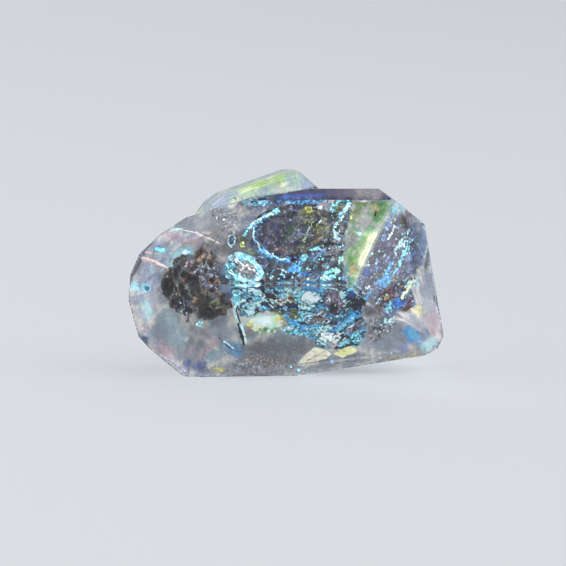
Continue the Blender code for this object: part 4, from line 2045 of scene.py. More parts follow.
MIDDLE_MOTTLE = Mottle(
    (Hue.TEAL, Hue.SLATE, Hue.INK, Hue.TAUPE, Hue.TEAL), 11.0, 1.0, 0.7,
    spots=painted(
        (278, 273, 26, 9, Hue.INK, 0.9, 0, 0.8),
        (309, 279, 16, 4, Hue.TAUPE, 0.9, 0, 0.8),
        (337, 248, 10, 16, Hue.TAUPE, 0.8, -10, 0.8),
        (337, 212, 8, 12, Hue.OLIVE, 0.6, -25, 0.8),
    ),
    grains=(
        Grain((Hue.INK,), 5.0, 0.28, 1.8, 15),
        Grain((Hue.BLUE, Hue.SKY), 3.4, 0.1, 1.8, 15),
        Grain((Hue.INK,), 2.4, 0.14, 1.4, 20),
        Grain((Hue.CYAN, Hue.ICE), 2.4, 0.05, 1.4, 25),
    ),
    veins=0.5,
    marks=painted(
        (271, 280, 9, 3, Hue.UMBER, 0.8, 0, 0.9),
        (((266, 264), (276, 267), (288, 271)), 1.8, Hue.MAUVE, 0.9, 0.8),
        (294, 268, 9, 5.5, Hue.SKY, 0.9, 0, 0.9),
        (304, 274, 5, 3, Hue.BLUE, 0.8, 0, 0.8),
        (282, 277, 6, 4, Hue.NAVY, 0.9, 0, 0.9),
        (303, 258, 4.6, 3.6, Hue.CYAN, 0.95, 0, 0.9),
        (316, 247, 7, 3.4, Hue.CYAN, 0.95, 35, 0.7),
        (((313, 260), (319, 254), (325, 249)), 2.6, Hue.PERI, 0.9, 0.8),
        (316, 274, 6, 4, Hue.SLATE, 0.9, 0, 0.9),
        (329, 274, 8, 6, Hue.CYAN, 0.8, 20, 1.1),
        (341, 260, 5.5, 3.8, Hue.MINT, 1.0, 24),
        (337, 271, 4, 3.2, Hue.MINT, 1.0),
        (325, 278, 5, 3, Hue.ICE, 1.0, 0, 0.5),
        (349, 277, 4.4, 3.8, Hue.CYAN, 1.0, 0, 0.4),
        (((352, 198), (344, 200), (336, 203), (330, 209)), 3.0, Hue.CYAN, 0.9, 0.9),
        (((349, 203), (344, 212), (339, 221), (334, 229), (337, 238)), 4.6, Hue.ICE, 0.9, 1.1),
    ),
)

GREEN_MOTTLE = Mottle(
    (Hue.SAGE, Hue.MOSS, Hue.STONE, Hue.MOSS), 12.0, 0.98, 0.2,
    spots=painted(
        (364, 203, 14, 4, Hue.OLIVE, 0.8, 0, 0.2),
        (380, 210, 8, 14, Hue.GREEN, 0.95, -30, 0.2),
        (374, 208, 5, 5, Hue.TAN, 0.7, 0, 0.2),
        (356, 214, 5, 12, Hue.OLIVE, 0.7, -25, 0.2),
        (364, 226, 6, 12, Hue.STONE, 0.8, -20, 0.15),
        (350, 240, 5, 12, Hue.TAUPE, 0.8, -20, 0.3),
        (353, 257, 5, 12, Hue.GREEN, 0.9, -15, 0.3),
        (353, 270, 5, 7, Hue.GOLD, 0.6, -15, 0.3),
        (347, 273, 4, 8, Hue.TEAL, 0.8, 0, 0.6),
        (362, 250, 8, 24, Hue.FERN, 0.5, -27, 0.1),
        (371, 249, 8, 31, Hue.CREAM, 0.85, -27, 0.08),
    ),
    grains=(Grain((Hue.STONE,), 6.0, 0.08, 3.0, 64), Grain((Hue.YELLOW,), 2.4, 0.01)),
    marks=painted((360, 233, 3, 2.4, Hue.MINT, 0.9), (350.5, 218, 1.4, 2.6, Hue.YELLOW, 0.9, -20)),
)

OVAL_MOTTLE = Mottle(
    (Hue.INK, Hue.NAVY, Hue.INK, Hue.PLUM, Hue.TAR), 8.0, 1.0, 0.5,
    spots=painted(
        (268, 232, 13, 18, Hue.VIOLET, 0.4, 0, 0.7),
        (262, 234, 6, 8, Hue.TAR, 0.7, 0, 0.8),
        (288, 234, 7, 12, Hue.GREEN, 0.3, 0, 0.9),
        (302, 249, 10, 5, Hue.OLIVE, 0.8, 10, 0.8),
        (309, 217, 10, 9, Hue.OLIVE, 0.8, 20, 0.7),
        (326, 218, 5, 6, Hue.UMBER, 0.8, 0, 0.7),
        (324, 232, 11, 13, Hue.OLIVE, 0.7, 20, 0.8),
        (300, 234, 10, 6, Hue.SLATE, 0.9, 20, 0.6),
        (311, 240, 8, 4, Hue.UMBER, 0.7, 20, 0.8),
    ),
    grains=(
        Grain((Hue.INK,), 5.0, 0.3, 1.4, 60),
        Grain((Hue.MAUVE, Hue.PERI), 2.2, 0.07, 1.3, 50),
        Grain((Hue.ROYAL, Hue.TEAL), 2.4, 0.1, 1.6, 45),
        Grain((Hue.UMBER, Hue.OLIVE), 2.4, 0.1, 1.6, 45),
        Grain((Hue.OLIVE, Hue.TAN), 2.8, 0.18, 2.6, 48, Spot((318, 228), (18, 22), Hue.OLIVE, 0.9)),
        Grain((Hue.INK,), 1.8, 0.22),
    ),
    veins=0.4,
    marks=painted(
        (320, 206.5, 3.8, 2.8, Hue.WHITE, 1.0),
        (((313, 222), (309, 230), (304, 241)), 1.2, Hue.SAGE, 0.9),
        (((319, 223), (323, 218)), 1.6, Hue.ICE, 0.9),
        (((274, 250), (280, 248.5), (286, 250)), 2.0, Hue.RUST, 0.8, 0.7),
        (((294, 238), (301, 234), (308, 235)), 1.2, Hue.FOG, 0.7),
        (((318, 214), (324, 222), (327, 232)), 1.2, Hue.TAN, 0.7, 0.6),
    ),
)

RIM_MOTTLE = Mottle(
    (Hue.INK, Hue.NAVY, Hue.SLATE, Hue.INK), 6.0, 1.0, 0.6, grains=(Grain((Hue.SKY,), 2.4, 0.08),),
    veins=0.3,
    marks=painted(
        (((260, 249), (271, 256), (290, 262)), 3.6, Hue.SKY, 0.9, 0.7),
        (((253, 226), (254, 237), (259, 246), (268, 253), (280, 258), (290, 260)), 1.6, Hue.ICE, 0.95, 0.7),
        (
            ((244, 235), (248, 228), (255, 222), (264, 217), (272, 213), (279, 209)), 4.4, Hue.CYAN, 0.95,
            1.2,
        ),
        (((249, 227), (256, 221), (265, 217), (273, 213)), 1.6, Hue.WHITE, 0.95, 0.8),
    ),
)

CELL_MOTTLE = Mottle(
    (Hue.MINT, Hue.SKY, Hue.MINT, Hue.ICE), 7.0, 1.0, 0.3,
    spots=painted((229, 270, 8, 14, Hue.TEAL, 0.9, 35, 0.8), (233, 257, 5, 5, Hue.FOG, 0.7, 0, 0.6)),
    grains=(
        Grain((Hue.TEAL, Hue.INK), 2.0, 0.3, 3.0, -45, Spot((231, 270), (9, 14), Hue.TEAL, 1.0)),
        Grain((Hue.WHITE,), 2.0, 0.1, 3.0, -45),
    ),
    marks=painted(
        (((225, 262), (231, 270), (238, 280)), 2.6, Hue.CYAN, 0.95, 0.6),
        (((233, 255), (236, 264), (242, 277)), 2.0, Hue.SLATE, 0.95, 0.6),
        (247, 269.5, 11.5, 7.6, Hue.STONE, 1.0, -30, 0.6),
        (247, 270, 9, 5, Hue.TAUPE, 1.0, -30, 0.9),
    ),
)

LENS_MOTTLE = Mottle(
    (Hue.MINT, Hue.CREAM, Hue.MINT), 9.0, 1.0, 0.2,
    spots=painted(
        (264, 321, 12, 6, Hue.WHITE, 1.0, 0, 0.1),
        (279, 319, 8, 5, Hue.YELLOW, 0.9, 0, 0.4),
        (283, 322, 4.5, 4, Hue.GOLD, 0.9, -40, 0.7),
        (249.5, 326.5, 4, 4, Hue.GOLD, 0.9, 0, 0.4),
        (250, 324, 3, 2, Hue.YELLOW, 0.8, 0, 0.3),
        (267, 330, 12, 3, Hue.GREEN, 0.8, 3, 0.9),
        (258, 333, 10, 2, Hue.SAGE, 0.8, -5, 0.8),
        (((250, 318), (258, 314.5), (268, 315), (276, 313.5)), 1.4, Hue.TEAL, 0.8, 0.8),
        (((276, 328), (283, 327), (288, 322)), 1.5, Hue.UMBER, 0.7, 0.8),
    ),
    grains=(
        Grain((Hue.MINT, Hue.WHITE), 2.6, 0.2),
        Grain((Hue.OLIVE, Hue.GREEN), 2.4, 0.3, zone=Spot((266, 331), (14, 3), Hue.MOSS, 0.8)),
    ),
    veins=0.1,
)

LONG_MOTTLE = Mottle(
    (Hue.BLUE, Hue.SKY, Hue.SKY), 7.0, 1.0, 0.6,
    spots=painted(
        (309, 291, 16, 4, Hue.SKY, 0.9, 0, 0.6),
        (311, 301, 9, 6, Hue.ICE, 1.0, 0, 0.5),
        (298, 296, 6, 5, Hue.CYAN, 0.9, 0, 0.8),
    ),
    grains=(
        Grain((Hue.CYAN, Hue.ICE, Hue.WHITE), 2.6, 0.25, 1.6, 40),
        Grain((Hue.BLUE, Hue.NAVY), 2.4, 0.14, 1.8, 60),
    ),
    veins=0.4,
)

# A painted reflection: a dark navy and plum sheet just under the crest, where the crest mirrors dark
# surroundings
CREST_REFLECTION_MOTTLE = Mottle(
    (Hue.INK, Hue.NAVY, Hue.INK), 14.0, 1.0, 0.15,
    spots=painted(
        (368, 193, 22, 8, Hue.TAUPE, 0.9, 0, 0.3),
        (342, 193, 16, 6, Hue.PLUM, 0.8, 0, 0.2),
        (304, 196, 24, 2.6, Hue.ROYAL, 0.9, 2, 0.2),
        (286, 197.5, 9, 1.6, Hue.BLUE, 0.6, 2, 0.2),
    ),
)

HEM_MOTTLE = Mottle(
    (Hue.TAUPE, Hue.GREY, Hue.MIST, Hue.TAUPE), 9.0, 0.85, 0.6,
    spots=painted(
        (219, 370, 8, 4, Hue.YELLOW, 0.8, 0, 0.4),
        (202, 367, 8, 8, Hue.NAVY, 0.7, 0, 1.0),
        (264, 360, 30, 8, Hue.TAUPE, 0.8, -5, 0.7),
        (364, 358, 12, 5, Hue.OLIVE, 0.5, 8, 0.9),
        (402, 354, 18, 4, Hue.RUST, 0.5, 12, 0.8),
    ),
    grains=(Grain((Hue.UMBER, Hue.TAR), 2.4, 0.1), Grain((Hue.MIST, Hue.TAN), 2.4, 0.12)), veins=0.2,
)

CRUMB_MOTTLE = Mottle(
    (Hue.TAUPE, Hue.GREY, Hue.STONE), 7.0, 0.9, 0.7,
    spots=painted((388, 320, 9, 6, Hue.TEAL, 0.7, 0, 0.9), (369, 341, 6, 6, Hue.ROSE, 0.8, 0, 0.3)),
    grains=(
        Grain((Hue.SLATE, Hue.UMBER, Hue.INK), 2.8, 0.22),
        Grain((Hue.FOG, Hue.WHITE), 2.4, 0.12),
        Grain((Hue.CYAN, Hue.ICE, Hue.WHITE), 2.6, 0.5, 1.4, 20, Spot((391, 320), (8, 5), Hue.SKY, 0.9)),
    ),
    veins=0.3,
)

DEEP_MOTTLE = Mottle(
    (Hue.SLATE, Hue.GREY, Hue.TAUPE, Hue.GREY, Hue.PERI), 24.0, 0.98, 0.2,
    spots=painted(
        (300, 240, 60, 36, Hue.SLATE, 0.7, 0, 0.4),
        (300, 310, 70, 24, Hue.SLATE, 0.7, 0, 0.4),
        (260, 185, 50, 14, Hue.MIST, 0.8, 12, 0.1),
    ),
)

# From behind and above, where the photograph shows nothing

HIDDEN_GRAINS = (
    Grain((Hue.MIST, Hue.FOG, Hue.ICE), 15.0, 0.2, 2.0, 25),
    Grain((Hue.SLATE, Hue.NAVY), 9.0, 0.06, 1.8, -20),
    Grain((Hue.SKY, Hue.CYAN, Hue.ICE), 4.0, 0.04, 1.6, 30),
)

BACK_MOTTLE = Mottle(
    (Hue.STONE, Hue.MIST, Hue.LAVENDER, Hue.ROSE, Hue.MIST), 28.0, 0.6, 0.2,
    spots=painted(
        (250, 290, 60, 34, Hue.SLATE, 0.7, 8, 0.7),
        (236, 292, 26, 16, Hue.BLUE, 0.6, 8, 0.9),
        (330, 300, 34, 26, Hue.TAUPE, 0.6, -20, 0.5),
        (180, 262, 22, 34, Hue.PLUM, 0.6, -10, 0.8),
        (290, 350, 70, 9, Hue.TAN, 0.5, 0, 0.7),
    ),
    grains=HIDDEN_GRAINS,
)

TOP_MOTTLE = Mottle(
    (Hue.MIST, Hue.LAVENDER, Hue.STONE, Hue.MIST), 26.0, 0.6, 0.2,
    spots=painted(
        (300, 250, 50, 26, Hue.PLUM, 0.5, 0, 0.8),
        (352, 262, 34, 22, Hue.SLATE, 0.5, 20, 0.8),
        (236, 236, 30, 22, Hue.ROSE, 0.4, 0, 0.3),
    ),
    grains=HIDDEN_GRAINS,
)

VEIL_SINKS = painted(
    (197, 284, 46, 46, Hue.GREY, 1.7),
    (246, 268, 26, 18, Hue.GREY, 0.5),
    (424, 330, 34, 40, Hue.GREY, -1.4),
    (140, 330, 24, 60, Hue.GREY, -1.2),
)

OVAL_OUTLINE = (
    (255, 232), (261, 220), (280, 208), (300, 203), (322, 204), (334, 214), (336, 232), (326, 246),
    (308, 254), (288, 258), (266, 250),
)
OVAL_RIM = (
    (241, 236), (250, 223), (268, 213), (279, 206), (282, 212), (264, 222), (259, 232), (262, 243),
    (276, 253), (292, 257), (292, 265), (276, 263), (260, 256), (248, 244), (252, 236), (250, 230),
    (245, 237),
)
RIGHT_FACET = (
    (384, 223), (391, 206), (408, 216), (417, 236), (419, 262), (414, 290), (420, 312), (404, 314),
    (390, 312), (374, 300), (354, 286), (355, 280),
)
GREEN_ZONE = (
    (352, 202), (389, 202), (383.5, 222), (357, 277), (351, 284), (345, 277), (343, 262), (346, 240),
    (350, 216),
)
LOWER_BAND = (
    (229, 286), (266, 285.5), (346, 285.5), (372, 286), (376, 293), (366, 305), (362, 316), (368, 326),
    (365, 339), (356, 348), (336, 351), (318, 347), (308, 338), (284, 336), (283, 328), (288, 322),
    (280, 313), (262, 312), (250, 319), (240, 317), (232, 302),
)
MIDDLE_ZONE = (
    (256, 262), (268, 267), (290, 265), (298, 256), (312, 248), (326, 240), (332, 226), (328, 206),
    (334, 200), (353, 197), (350, 216), (346, 240), (344, 262), (347, 278), (356, 284), (262, 284),
    (267, 275),
)
CREST_REFLECTION_STRIP = ((246, 200.5), (282, 193), (316, 186), (384, 186), (396, 199), (388, 200.5))
CELL_FRONT = (
    (224, 264), (232, 257), (238, 252.5), (250, 260), (262, 269), (265, 273), (260, 281), (246, 282),
    (230, 282), (225, 276),
)
LENS_FRONT = (
    (246, 326), (250, 320), (257, 315.5), (268, 314), (277, 314), (284, 317), (288, 322), (280, 328),
    (275, 333), (262, 334.5), (252, 331),
)
SHARDS = ((296, 364), (306, 354), (314, 347), (322, 348), (332, 353), (327, 359), (312, 362.5))
LOW_SHARDS = ((332, 354), (342, 349), (350, 345), (358, 349), (356, 353), (343, 358))
BOTTOM_EDGE = (
    (194, 362), (208, 366), (224, 362), (244, 352), (264, 350), (282, 358), (300, 365), (332, 362),
    (372, 356), (424, 346), (427, 351), (372, 365), (292, 376), (250, 377), (196, 374),
)
SPECKS_ABOVE = ((208, 212), (220, 205), (236, 210), (242, 224), (226, 230), (210, 223))
CRUMBS_BELOW = ((365, 316), (378, 309), (398, 312), (400, 325), (392, 334), (376, 346), (364, 340))
LEFT_BODY = (
    (136, 262), (170, 230), (232, 200), (250, 210), (232, 246), (196, 244), (160, 262), (158, 300),
    (176, 330), (232, 330), (240, 356), (200, 372), (150, 340), (132, 300),
)
TOP_PATCH = (
    (243, 202), (252, 199), (270, 197), (300, 195), (330, 196), (328, 203), (300, 205), (268, 207),
    (246, 206),
)
OIL_HUES = (Hue.CYAN, Hue.SKY, Hue.ICE, Hue.WHITE, Hue.NAVY, Hue.INK, Hue.TEAL, Hue.MAUVE)
DARK_HUES = (Hue.INK, Hue.NAVY, Hue.VIOLET, Hue.UMBER, Hue.PLUM, Hue.PERI, Hue.GREY)

FRONT_CLOUDS = (
    FleckCloud(OVAL_OUTLINE, 160, DARK_HUES, (0.3, 1.0), (0.8, 1.0), seed=1),
    FleckCloud(
        ((296, 212), (322, 204), (334, 218), (328, 244), (306, 252), (292, 246)), 45,
        (Hue.OLIVE, Hue.SAGE, Hue.TAN, Hue.UMBER, Hue.GREY, Hue.MINT), (0.4, 1.3), (0.7, 0.95), 2.6, 48, 28,
        2,
    ),
    FleckCloud(
        TOP_PATCH, 200, (Hue.ROYAL, Hue.NAVY, Hue.SKY, Hue.MAUVE, Hue.CYAN, Hue.ICE), (0.3, 1.2),
        (0.5, 0.8), seed=3,
    ),
    FleckCloud(
        RIGHT_FACET, 110, (Hue.SKY, Hue.ICE, Hue.CYAN, Hue.WHITE, Hue.PLUM, Hue.INK, Hue.MAUVE),
        (0.35, 1.2), (0.6, 0.95), 1.9, 58, 30, 4,
    ),
    FleckCloud(LOWER_BAND, 120, OIL_HUES, (0.3, 1.1), (0.7, 1.2), seed=6),
    FleckCloud(MIDDLE_ZONE, 70, OIL_HUES, (0.3, 1.2), (0.6, 0.85), seed=7),
    FleckCloud(
        ((176, 298), (194, 300), (200, 310), (196, 318), (178, 312)), 70,
        (Hue.ICE, Hue.WHITE, Hue.ROYAL, Hue.PERI, Hue.NAVY), (0.5, 1.5), (0.3, 0.5), seed=13,
    ),
    FleckCloud(
        ((184, 262), (196, 258), (222, 270), (224, 284), (200, 284), (186, 276)), 90,
        (Hue.LAVENDER, Hue.MAUVE, Hue.UMBER, Hue.TAR, Hue.MIST), (0.35, 1.1), (0.25, 0.5), seed=12,
    ),
    FleckCloud(LEFT_BODY, 110, (Hue.WHITE, Hue.ICE, Hue.GREY, Hue.PERI), (0.25, 0.6), (0.6, 1.4), seed=18),
    FleckCloud(
        ((132, 284), (144, 280), (150, 286), (144, 296), (132, 294)), 60,
        (Hue.CYAN, Hue.CYAN, Hue.SKY, Hue.NAVY, Hue.BLUE), (0.3, 1.0), (0.4, 0.8), seed=19,
    ),
    FleckCloud(
        ((218, 338), (236, 342), (246, 360), (226, 362)), 60, (Hue.ICE, Hue.CYAN, Hue.NAVY, Hue.PERI),
        (0.3, 1.0), (0.5, 0.9), seed=20,
    ),
    FleckCloud(
        BOTTOM_EDGE, 160, (Hue.TAUPE, Hue.UMBER, Hue.MIST, Hue.GREY, Hue.ICE), (0.3, 0.9), (0.4, 0.7), 1.3,
        seed=9,
    ),
)

FRONT_FILMS = (
    # Light caught along the outline
    Film(((172, 224), (158, 232), (144, 244), (134, 258)), 1.5, Hue.LAVENDER, 0.3, 0.6, 0.5),
    Film(((130, 264), (127.5, 285), (129, 302), (132, 324), (139, 339)), 1.5, Hue.FOG, 0.3, 0.6, 0.5),
    Film(((141, 342), (152, 350), (168, 360), (188, 373)), 1.8, Hue.LAVENDER, 0.3, 0.7, 0.6),
    Film(((192, 375), (225, 375.5), (262, 377), (286, 377)), 1.4, Hue.FOG, 0.3, 0.8, 0.7),
    Film(((290, 376), (330, 370.5), (372, 364), (410, 357)), 1.5, Hue.FOG, 0.3, 0.7, 0.7),
    Film(((440, 336), (437, 310), (433, 280), (428, 246), (424, 228)), 0.8, Hue.LAVENDER, 0.3, 0.8, 0.5),
    Film(((421, 223), (408, 211), (396, 203)), 1.6, Hue.ICE, 0.3, 0.7, 0.6),
    Film(((423, 226), (427, 236), (427, 248), (424, 258)), 1.1, Hue.ICE, 0.5, 0.5, 0.5),
    # Streaks of light in the left end
    Film(((182, 230), (192, 232), (203, 236), (215, 241)), 1.4, Hue.PEARL, 1.2, 0.2, 0.2),
    Film(((196, 235), (208, 239)), 2.0, Hue.ROSE, 1.3, 0.2, 0.2),
    Film(((171, 231), (177, 229.5), (183, 229)), 2.2, Hue.ICE, 1.0, 0.3),
    Film(((141, 258), (150, 261), (158, 264), (166, 267)), 5.0, Hue.ROSE, 0.7, 0.15, 0.15),
    Film(((142, 257), (150, 260), (160, 265), (168, 268)), 2.0, Hue.PEARL, 0.6, 0.2, 0.15),
    # The long crack at the left of the lower face
    Film(
        ((246, 300), (239, 303), (235, 309), (236.5, 316), (240, 325), (243, 334), (246, 344)), 3.6,
        Hue.ICE, 0.8, 0.15,
    ),
    Film(((238, 305), (236.5, 310), (238.5, 318), (240.5, 324)), 1.5, Hue.INK, 0.7, 0.2),
    Film(((238, 323), (240, 330), (242.5, 338), (244, 346)), 3.0, Hue.INK, 0.68, 0.3),
    Film(((242, 325), (244, 333), (246.5, 342)), 1.3, Hue.WHITE, 0.66, 0.3),
    # Cracks at the lower left
    Film(((219, 337), (224, 342), (229, 347), (233, 351)), 1.6, Hue.INK, 0.75, 0.4),
    Film(((223, 341), (229, 345), (234, 349)), 1.7, Hue.ICE, 0.7, 0.4),
)

FRONT_PATCHES = (
    Patch(GREEN_ZONE, GREEN_MOTTLE, 0.9, 0.3, 0.6, 0.55),
    Patch(LOWER_BAND, BAND_MOTTLE, 1.2, pitch=0.5),
    Patch(RIGHT_FACET, FACET_MOTTLE, 1.0, 1.0, 5.0, 0.5),
    Patch(MIDDLE_ZONE, MIDDLE_MOTTLE, 0.9, 2.5, 3.0, 0.5),
    Patch(OVAL_OUTLINE, OVAL_MOTTLE, 1.05, 2.0, 3.5, 0.55),
    Patch(OVAL_RIM, RIM_MOTTLE, 0.85, 1.2, 1.6, 0.5),
    Patch(CELL_FRONT, CELL_MOTTLE, 1.0, 0.9, 0.8, 0.5),
    Patch(LENS_FRONT, LENS_MOTTLE, 1.25, 1.6, 1.2, 0.5),
    # The painted reflection of dark surroundings along the crest
    Patch(CREST_REFLECTION_STRIP, CREST_REFLECTION_MOTTLE, 0.45, 0.4, 0.6),
    Patch(
        TOP_PATCH,
        Mottle(
            (Hue.SLATE, Hue.SKY, Hue.PLUM, Hue.SLATE), 9.0, 1.0, 0.7,
            spots=painted(
                (254, 202, 12, 4, Hue.CYAN, 1.0, 5, 0.6),
                (272, 202, 5, 4, Hue.PLUM, 0.9, 0, 0.8),
            ),
            grains=(
                Grain((Hue.CYAN, Hue.ICE), 2.6, 0.16, 1.8, 60),
                Grain((Hue.NAVY, Hue.INK), 3.0, 0.25, 1.5, 20),
            ),
            veins=0.5,
        ),
        0.8,
    ),
    Patch(BOTTOM_EDGE, HEM_MOTTLE, 0.6, 2.5, 8.0),
    Patch(SPECKS_ABOVE, CRUMB_MOTTLE, 1.2, 2.5, 7.0),
    Patch(CRUMBS_BELOW, CRUMB_MOTTLE, 0.9, 2.5, 8.0),
    Patch(
        SHARDS,
        Mottle(
            (Hue.CREAM, Hue.PEARL), 6.0, 1.0, 0.2,
            spots=painted((((306, 362), (318, 355), (326, 350)), 1.2, Hue.TAN, 0.8)), veins=0.3,
        ),
        0.8, 0.8, 0.8, 0.5,
    ),
    Patch(LOW_SHARDS, Mottle((Hue.CREAM, Hue.YELLOW), 6.0, 1.0, 0.25, veins=0.3), 0.8, 1.0, 1.0, 0.5),
)

FRONT_FLAKES = (
    # The small ring and the bits beside it
    Flake(
        ((229, 235), (233, 233.5), (236, 238), (234.5, 244), (231, 247), (228, 244), (227.5, 239)),
        Hue.NAVY, Hue.ICE,
    ),
    blot((240, 238), (2.8, 2.2), Hue.UMBER, Hue.OLIVE, 1.0, -78),
    blot((242, 245), (3.2, 2.6), Hue.MOSS, Hue.YELLOW, 1.0),
    Flake(
        ((304.5, 208), (308, 205.5), (312, 207), (313, 210.5), (310, 213.5), (306, 212)), Hue.OLIVE,
        Hue.YELLOW, 0.7,
    ),
    blot((231, 247), (2.0, 1.8), Hue.SAGE, Hue.TEAL, 1.0),
    # The second small ring, under the oval
    Flake(
        ((254, 260), (259, 256), (265, 257), (269, 263), (266, 267), (259, 266)), Hue.NAVY, Hue.FOG, 0.8,
        1.6, 1.0,
    ),
    # The left end
    Flake(
        ((152, 249), (156, 246), (163, 247), (168, 250), (165, 253), (158, 252)), Hue.CYAN, Hue.ROYAL, 0.7,
    ),
    Flake(
        ((144, 285), (148, 284), (151.5, 288), (149, 292), (145, 292), (142.5, 288)), Hue.SLATE, Hue.CYAN,
        0.5, 2.2,
    ),
    blot((186, 252), (6.0, 2.6), Hue.ICE, Hue.PERI, 1.1, 8),
    # Small pale blobs
    blot((291, 367), (2.2, 1.6), Hue.WHITE, Hue.CYAN, 0.3, -42),
    blot((299, 370), (2.0, 1.2), Hue.WHITE, Hue.CYAN, 0.3, 5),
    blot((332, 362), (2.5, 1.6), Hue.CYAN, Hue.PERI, 0.3, -3),
    # Under the lump
    blot((199, 324), (3.6, 3.0), Hue.ICE, Hue.TEAL, 0.6),
    blot((210, 325), (2.4, 1.9), Hue.CYAN, Hue.SLATE, 0.6, -78),
)

# What lies behind and above, in pixels of those views

HIDDEN_HUES = (Hue.SKY, Hue.BLUE, Hue.CYAN, Hue.NAVY, Hue.INK, Hue.MAUVE, Hue.UMBER, Hue.ICE)

BACK_CLOUDS = (
    FleckCloud(
        ((180, 270), (230, 262), (300, 280), (318, 306), (260, 322), (196, 310)), 420, HIDDEN_HUES,
        (0.5, 3.0), (0.8, 1.8), 2.0, 20, 40, 31,
    ),
    FleckCloud(
        ((136, 230), (190, 204), (216, 240), (190, 312), (150, 320)), 300, HIDDEN_HUES, (0.5, 2.6),
        (0.8, 2.2), 2.4, -58, 30, 32,
    ),
    FleckCloud(
        ((320, 262), (392, 250), (410, 300), (360, 340), (316, 330)), 120,
        (Hue.GREY, Hue.UMBER, Hue.WHITE, Hue.ICE, Hue.SLATE), (0.4, 1.6), (0.8, 2.4), seed=33,
    ),
)

TOP_CLOUDS = (
    FleckCloud(
        ((236, 200), (330, 196), (372, 226), (360, 284), (250, 290)), 420, HIDDEN_HUES, (0.5, 2.8),
        (1.0, 2.2), 1.8, 15, 50, 34,
    ),
    FleckCloud(
        ((340, 196), (410, 220), (420, 300), (372, 320), (350, 260)), 260, HIDDEN_HUES, (0.5, 2.8),
        (0.8, 2.2), 2.2, 60, 30, 35,
    ),
)

HIDDEN_CRACKS = (
    ((3.5, 2.4, 5.4), 284, 8, 3.6), ((-3.6, 2.6, 4.6), 262, -20, 3.0), ((6.8, 1.2, 7.2), 318, 40, 2.6),
    ((-7.4, 0.9, 6.2), 300, -48, 2.4), ((0.8, 2.4, 3.0), 350, 4, 3.4), ((-2.2, 4.6, 9.4), 330, -6, 2.0),
)

CRACK_MOTTLE = Mottle(
    (Hue.SLATE, Hue.FOG, Hue.MAUVE, Hue.SKY, Hue.TAUPE), 20.0, 0.7, 0.5,
    grains=(
        Grain((Hue.BLUE, Hue.SKY, Hue.CYAN), 5.0, 0.2, 2.0, 30),
        Grain((Hue.UMBER, Hue.INK), 4.0, 0.14, 1.5, 60),
        Grain((Hue.ICE, Hue.WHITE), 3.0, 0.08),
    ),
)


# The studio


@dataclass(frozen=True)
class Lamp:
    """A soft square lamp that looks at the crystal. Its angles are in degrees."""

    name: str
    azimuth: float
    elevation: float
    distance: float
    size: float
    power: float
    colour: Colour = (1.0, 1.0, 1.0)

    def build(self, target: Vector) -> None:
        """Makes the lamp.

        Args:
            target: The point that it looks at.
        """
        light = bpy.data.lights.new(self.name, "AREA")
        light.shape = "SQUARE"
        light.size = self.size
        light.energy = self.power
        light.color = self.colour
        azimuth, elevation = math.radians(self.azimuth), math.radians(self.elevation)
        level = math.cos(elevation)
        away = Vector((math.sin(azimuth) * level, -math.cos(azimuth) * level, math.sin(elevation)))
        lamp = put_in_scene(self.name, light)
        lamp.location = target + away * self.distance
        lamp.rotation_mode = "QUATERNION"
        lamp.rotation_quaternion = away.to_track_quat("Z", "Y")


@dataclass
class Studio:
    """The pale floor, the soft lights, the surroundings and the camera."""

    viewpoint: Viewpoint
    floor_size: float = 6.0
    floor_drop: float = 0.02 * MM
    floor_colour: Colour = (0.62, 0.62, 0.63)
    floor_roughness: float = 0.8
    sky_colour: Colour = (0.80, 0.84, 0.90)
    sky_strength: float = 0.6
    lamps: tuple[Lamp, ...] = (
        Lamp("key_lamp", -38, 58, 1.6, 1.0, 14.0, (0.97, 1.0, 0.97)),
        Lamp("fill_lamp", 62, 38, 1.8, 1.1, 8.0, (0.92, 0.96, 1.0)),
        Lamp("back_lamp", 205, 26, 1.8, 0.9, 7.0, (0.95, 0.98, 1.0)),
    )

    def build_floor(self) -> None:
        """Makes the floor that the crystal rests on."""
        half = self.floor_size / 2
        mesh = bpy.data.meshes.new("floor")
        corners = [(-half, -half, 0), (half, -half, 0), (half, half, 0), (-half, half, 0)]
        mesh.from_pydata(corners, [], [(0, 1, 2, 3)])
        kit = NodeKit("pale_floor")
        inputs = {"Base Color": self.floor_colour, "Roughness": self.floor_roughness}
        mesh.materials.append(kit.finish(kit.node("BsdfPrincipled", inputs)))
        floor = put_in_scene("floor", mesh)
        floor.location.z = -self.floor_drop

    def build_sky(self) -> None:
        """Makes the even light all round."""
        world = bpy.data.worlds.new("studio")
        world.use_nodes = True
        background = world.node_tree.nodes["Background"]
        background.inputs["Color"].default_value = (*self.sky_colour, 1.0)
        background.inputs["Strength"].default_value = self.sky_strength
        bpy.context.scene.world = world

    def build_camera(self) -> None:
        """Makes the camera at the photograph's place."""
        data = bpy.data.cameras.new("camera")
        data.sensor_width = self.viewpoint.sensor
        data.lens = self.viewpoint.lens()
        data.clip_start = 0.01
        data.clip_end = 20.0
        camera = put_in_scene("camera", data)
        camera.matrix_world = self.viewpoint.place
        bpy.context.scene.camera = camera

    def build(self) -> None:
        """Makes the whole studio."""
        self.build_floor()
        self.build_sky()
        self.build_camera()
        for lamp in self.lamps:
            lamp.build(self.viewpoint.aim)
        bpy.context.scene.view_settings.view_transform = "Standard"


# The pieces


